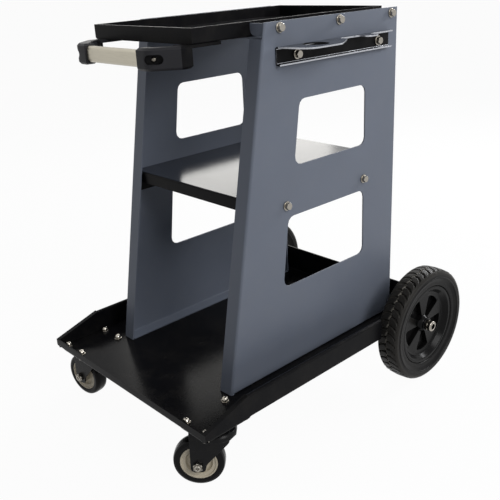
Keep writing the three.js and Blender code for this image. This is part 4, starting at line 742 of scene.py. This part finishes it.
# %% Casters
core_half = [(14, 6.5, 0.4), (14, 10, 1.0), (5, 12, 1.5), (4.2, 18.0, 1.5), (8.6, 20.0, 0.8), (8.6, 24.2, 0.4),
             (10.5, 25.2, 0.5), (10.5, 27.4, 0.5)]
core_profile = profile(*core_half, *[(-a, r, c) for a, r, c in reversed(core_half)])
tread_half = [(11, 27.9, 0.5), (11.5, 33, 1.0), (9.9, 36.7, 2.5), (5.0, 38, 6.0)]
tread_profile = profile(*tread_half, *[(-a, r, c) for a, r, c in reversed(tread_half)], steps=6)
race_profile = profile((97, 11, 0.3), (97, 22, 1.5), (98.8, 24, 1.2), (101.2, 24, 1.2), (103, 22, 1.5), (103, 11, 0.3))
for side, sign in SIDES:
    name = side + "_caster"
    roll = joints[name + "_roll"]
    swivel = joints[name + "_swivel"]
    centre, axis = Vector(roll["pos_m"]), Vector(roll["axis"])
    foot = Vector((swivel["pos_m"][0], swivel["pos_m"][1], 0))
    wheel_body, fork_body = name + "_wheel", side + "_swivel"
    core = smooth(turned(name + "_core_form", core_profile, centre, axis, 72), 40)
    piece(name + "_ivory_core", core, core_plastic, "caster_core", wheel_body, name + "_core")
    band = smooth(turned(name + "_tyre_form", tread_profile, centre, axis, 96), 50)
    piece(name + "_smooth_tyre", band, caster_rubber, "caster_tyre", wheel_body, name + "_tyre")
    ring = profile((-14, 4.16, 0), (-14, 6.1, 0.2), (14, 6.1, 0.2), (14, 4.16, 0))
    bush = smooth(turned(name + "_bush_form", ring, centre, axis, 40), 40)
    piece(name + "_sleeve", bush, zinc, "zinc_steel", wheel_body, name + "_bush")
    fork = softened(name + "_fork", 0.6 * MM, 2, 50)
    piece(name + "_pressed_fork", fork, fork_black, "black_steel", fork_body, name + "_fork")
    race = smooth(turned(name + "_race_form", race_profile, foot, (0, 0, 1), 64), 40)
    piece(name + "_ball_race", race, zinc, "zinc_steel", "chassis", name + "_race")
    pin = softened(name + "_kingpin", 0.5 * MM, 2, 40)
    piece(name + "_rivet", pin, zinc, "zinc_steel", "chassis", name + "_kingpin")
    shank = profile((-25.7, 0, 0), (-25.7, 3.9, 0.5), (18, 3.9, 0), (18, 0, 0))
    bolt = turned(name + "_shank", shank, (0, 0, 0), (1, 0, 0), 32)
    head = hexagon(name + "_head", 0, 13 * MM, 17.75 * MM, 22.75 * MM, 1.1 * MM)
    rim = profile((22.6, 2.4, 0), (22.6, 5.0, 0.4), (24.2, 4.4, 0.7), (24.2, 2.9, 0.3), (22.9, 2.4, 0.2))
    rim = turned(name + "_head_rim", rim, (0, 0, 0), (1, 0, 0), 32)
    bolt = placed(joined_mesh(name + "_bolt", bolt, head, rim), centre, axis)
    piece(name + "_hex_bolt", smooth(bolt, 30), zinc, "zinc_steel", fork_body, name + "_axle_bolt")
    # The flats inside the bolt head's rim take the darker zinc: painted shade in the recess.
    bolt.materials.append(zinc_with_painted_shade)
    for face in bolt.polygons:
        away = face.center - centre
        along = away.dot(axis)
        face.material_index = int(along < 22.8 * MM and abs(face.normal.dot(axis)) > 0.9)
    nut = hexagon(name + "_nut", 4.25 * MM, 13 * MM, -23.75 * MM, -17.75 * MM, 1.1 * MM)
    piece(name + "_hex_nut", smooth(placed(nut, centre, axis), 30), zinc, "zinc_steel", fork_body,
          name + "_axle_nut")
    print(name, "axle points", [round(v, 3) for v in axis])

# %% [markdown]
# ## Bolts
# Hexagon bolts with washers hold the panels to the shelf, the rails and the torch holder, and four smaller ones
# hold each caster's plate under the floor. One bolt is modelled and a geometry tree sets it on every seat: each
# seat is a point that knows which way the bolt faces, and a seeded random turn keeps the flats from lining up.

# %% Bolt tree
fixings, given = shape_tree("bolts_on_seats", ("Fixing", "NodeSocketObject"), ("Seed", "NodeSocketInt"),
                            ("Finish", "NodeSocketMaterial"))
model = step(fixings, "GeometryNodeObjectInfo", {"transform_space": "ORIGINAL"}, Object=given["Fixing"])
facing = step(fixings, "GeometryNodeInputNamedAttribute", {"data_type": "FLOAT_VECTOR"}, Name="facing")
aligned = step(fixings, "FunctionNodeAlignRotationToVector", {"axis": "X"}, Vector=facing.outputs[0])
chance = step(fixings, "FunctionNodeRandomValue", {"data_type": "FLOAT"}, i2=0.0, i3=math.pi, Seed=given["Seed"])
quirk = step(fixings, "ShaderNodeCombineXYZ", i0=chance.outputs[1]).outputs[0]
turned_by = step(fixings, "FunctionNodeEulerToRotation", i0=quirk).outputs[0]
facing_turn = step(fixings, "FunctionNodeRotateRotation", {"rotation_space": "LOCAL"},
                   i0=aligned.outputs[0], i1=turned_by)
seats = step(fixings, "GeometryNodeMeshToPoints", Mesh=given["Geometry"])
copies = step(fixings, "GeometryNodeInstanceOnPoints", Points=seats.outputs[0],
              Instance=model.outputs["Geometry"], Rotation=facing_turn.outputs[0])
real = step(fixings, "GeometryNodeRealizeInstances", Geometry=copies.outputs[0])
finished = step(fixings, "GeometryNodeSetMaterial", Geometry=real.outputs[0], Material=given["Finish"])
step(fixings, "NodeGroupOutput", Geometry=finished.outputs[0])


def bolt_mesh(name, head, washer, thick, length):
    rim = profile((0, 0, 0), (0, washer, 0.2), (thick, washer, 0.4), (thick, 0, 0), steps=2)
    shank = profile((-length, 0, 0), (-length, 2.95, 0.4), (0.2, 2.95, 0), (0.2, 0, 0), steps=1)
    return joined_mesh(name, head, turned(name + "_washer", rim, (0, 0, 0), (1, 0, 0), 24),
                       turned(name + "_shank", shank, (0, 0, 0), (1, 0, 0), 16))


def set_fixings(name, mesh, seats, seed, *stands_for):
    points = bpy.data.meshes.new(name + "_seats")
    points.from_pydata([seat for seat, _ in seats], [], [])
    facing = points.attributes.new("facing", "FLOAT_VECTOR", "POINT")
    facing.data.foreach_set("vector", [value for _, way in seats for value in way])
    model = bpy.data.objects.new(name + "_model", mesh)
    scene.collection.objects.link(model)
    made = smooth(shaped_by(fixings, points, Fixing=model, Seed=seed, Finish=zinc), 30)
    bpy.data.objects.remove(model)
    piece(name, made, zinc, "zinc_steel", "chassis", *stands_for)
    print(name, len(seats), "set,", len(made.polygons), "faces")


# %% Bolts on the panels
bolt_nodes = [n for n in nodes if "top_bolt" in n or "shelf_bolt" in n or "torch_bolt" in n]
panel_seats = []
for node in sorted(bolt_nodes):
    low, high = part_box(node)
    way = 1 if low.x > 0 else -1
    seat = low.x + 9 * MM if way > 0 else high.x - 9 * MM
    panel_seats.append(((seat, (low.y + high.y) / 2, (low.z + high.z) / 2), (way, 0, 0)))
head = hexagon("panel_head", 0, 10 * MM, 1.4 * MM, 6.5 * MM, 0.9 * MM, 24)
panel_bolt = bolt_mesh("panel_bolt", head, 7, 1.5, 9)
set_fixings("panel_bolts", panel_bolt, panel_seats, 4, *sorted(bolt_nodes))

# %% Bolts through the caster plates
floor_top = 108.5 * MM
plate_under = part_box("right_caster_plate")[0].z
heads, ends = [], []
for side, sign in SIDES:
    low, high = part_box(side + "_caster_plate")
    for dx in (-21 * MM, 21 * MM):
        for dy in (-36 * MM, 36 * MM):
            x, y = (low.x + high.x) / 2 + dx, (low.y + high.y) / 2 + dy
            heads.append(((x, y, floor_top + 0.1 * MM), (0, 0, 1)))
            ends.append(((x, y, plate_under - 0.1 * MM), (0, 0, -1)))
dome = turned("dome", profile((0.9, 0, 0), (0.9, 5.2, 0.3), (3.6, 5.2, 1.2), (6.7, 3.2, 2.6), (7.2, 0, 0)),
              (0, 0, 0), (1, 0, 0), 24)
plate_bolt = bolt_mesh("plate_bolt", dome, 6.5, 1.0, 5)
set_fixings("plate_bolts", plate_bolt, heads, 7)
nut = hexagon("plate_nut", 0, 10 * MM, 0, 5 * MM, 0.8 * MM, 24)
stub = turned("plate_stub", profile((4.5, 0, 0), (4.5, 2.95, 0), (5.8, 2.95, 0.4), (5.8, 0, 0), steps=1),
              (0, 0, 0), (1, 0, 0), 16)
set_fixings("plate_nuts", joined_mesh("plate_nut", nut, stub), ends, 9)

# %% Screws in the handle's recesses
head = profile((-0.6, 0, 0), (-0.6, 3.4, 0.2), (1.0, 3.4, 0.8), (2.4, 1.9, 1.4), (2.5, 0, 0))
for side, sign in SIDES:
    low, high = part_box(side + "_handle_bolt")
    faces_out = Vector((sign * 0.7725, -0.6345, 0))
    seat = (low + high) / 2 - faces_out * 1.7 * MM
    screw = smooth(placed(turned(side + "_screw", head, (0, 0, 0), (1, 0, 0), 32), seat, faces_out), 40)
    # The screw takes the darker zinc: painted shade in its recess.
    piece(side + "_handle_screw", screw, zinc_with_painted_shade, "zinc_steel", "chassis", side + "_handle_bolt")
    # Faces in each arm's recess take the black paint: painted shade in the recess. The arm's foot past the seam is
    # drawn black as well.
    arm = arms[side]
    arm.materials.append(deck_black)
    for face in arm.polygons:
        from_seat = [arm.vertices[corner].co - seat for corner in face.vertices]
        inside = all(-2 * MM < v.dot(faces_out) < 5.8 * MM and abs(v.z) < 6.3 * MM for v in from_seat)
        recess_painted_shade = inside and max(v.length for v in from_seat) < 15 * MM
        on_foot = face.center.dot(Vector((sign * 0.6345, 0.7725, 0))) > -94.3 * MM
        face.material_index = int(recess_painted_shade or on_foot)

# %% [markdown]
# ## Sizes
# The dressed cart is meant to stay inside the box of its solids; this cell only brings the view layer up to date.

# %% Boxes
bpy.context.view_layer.update()
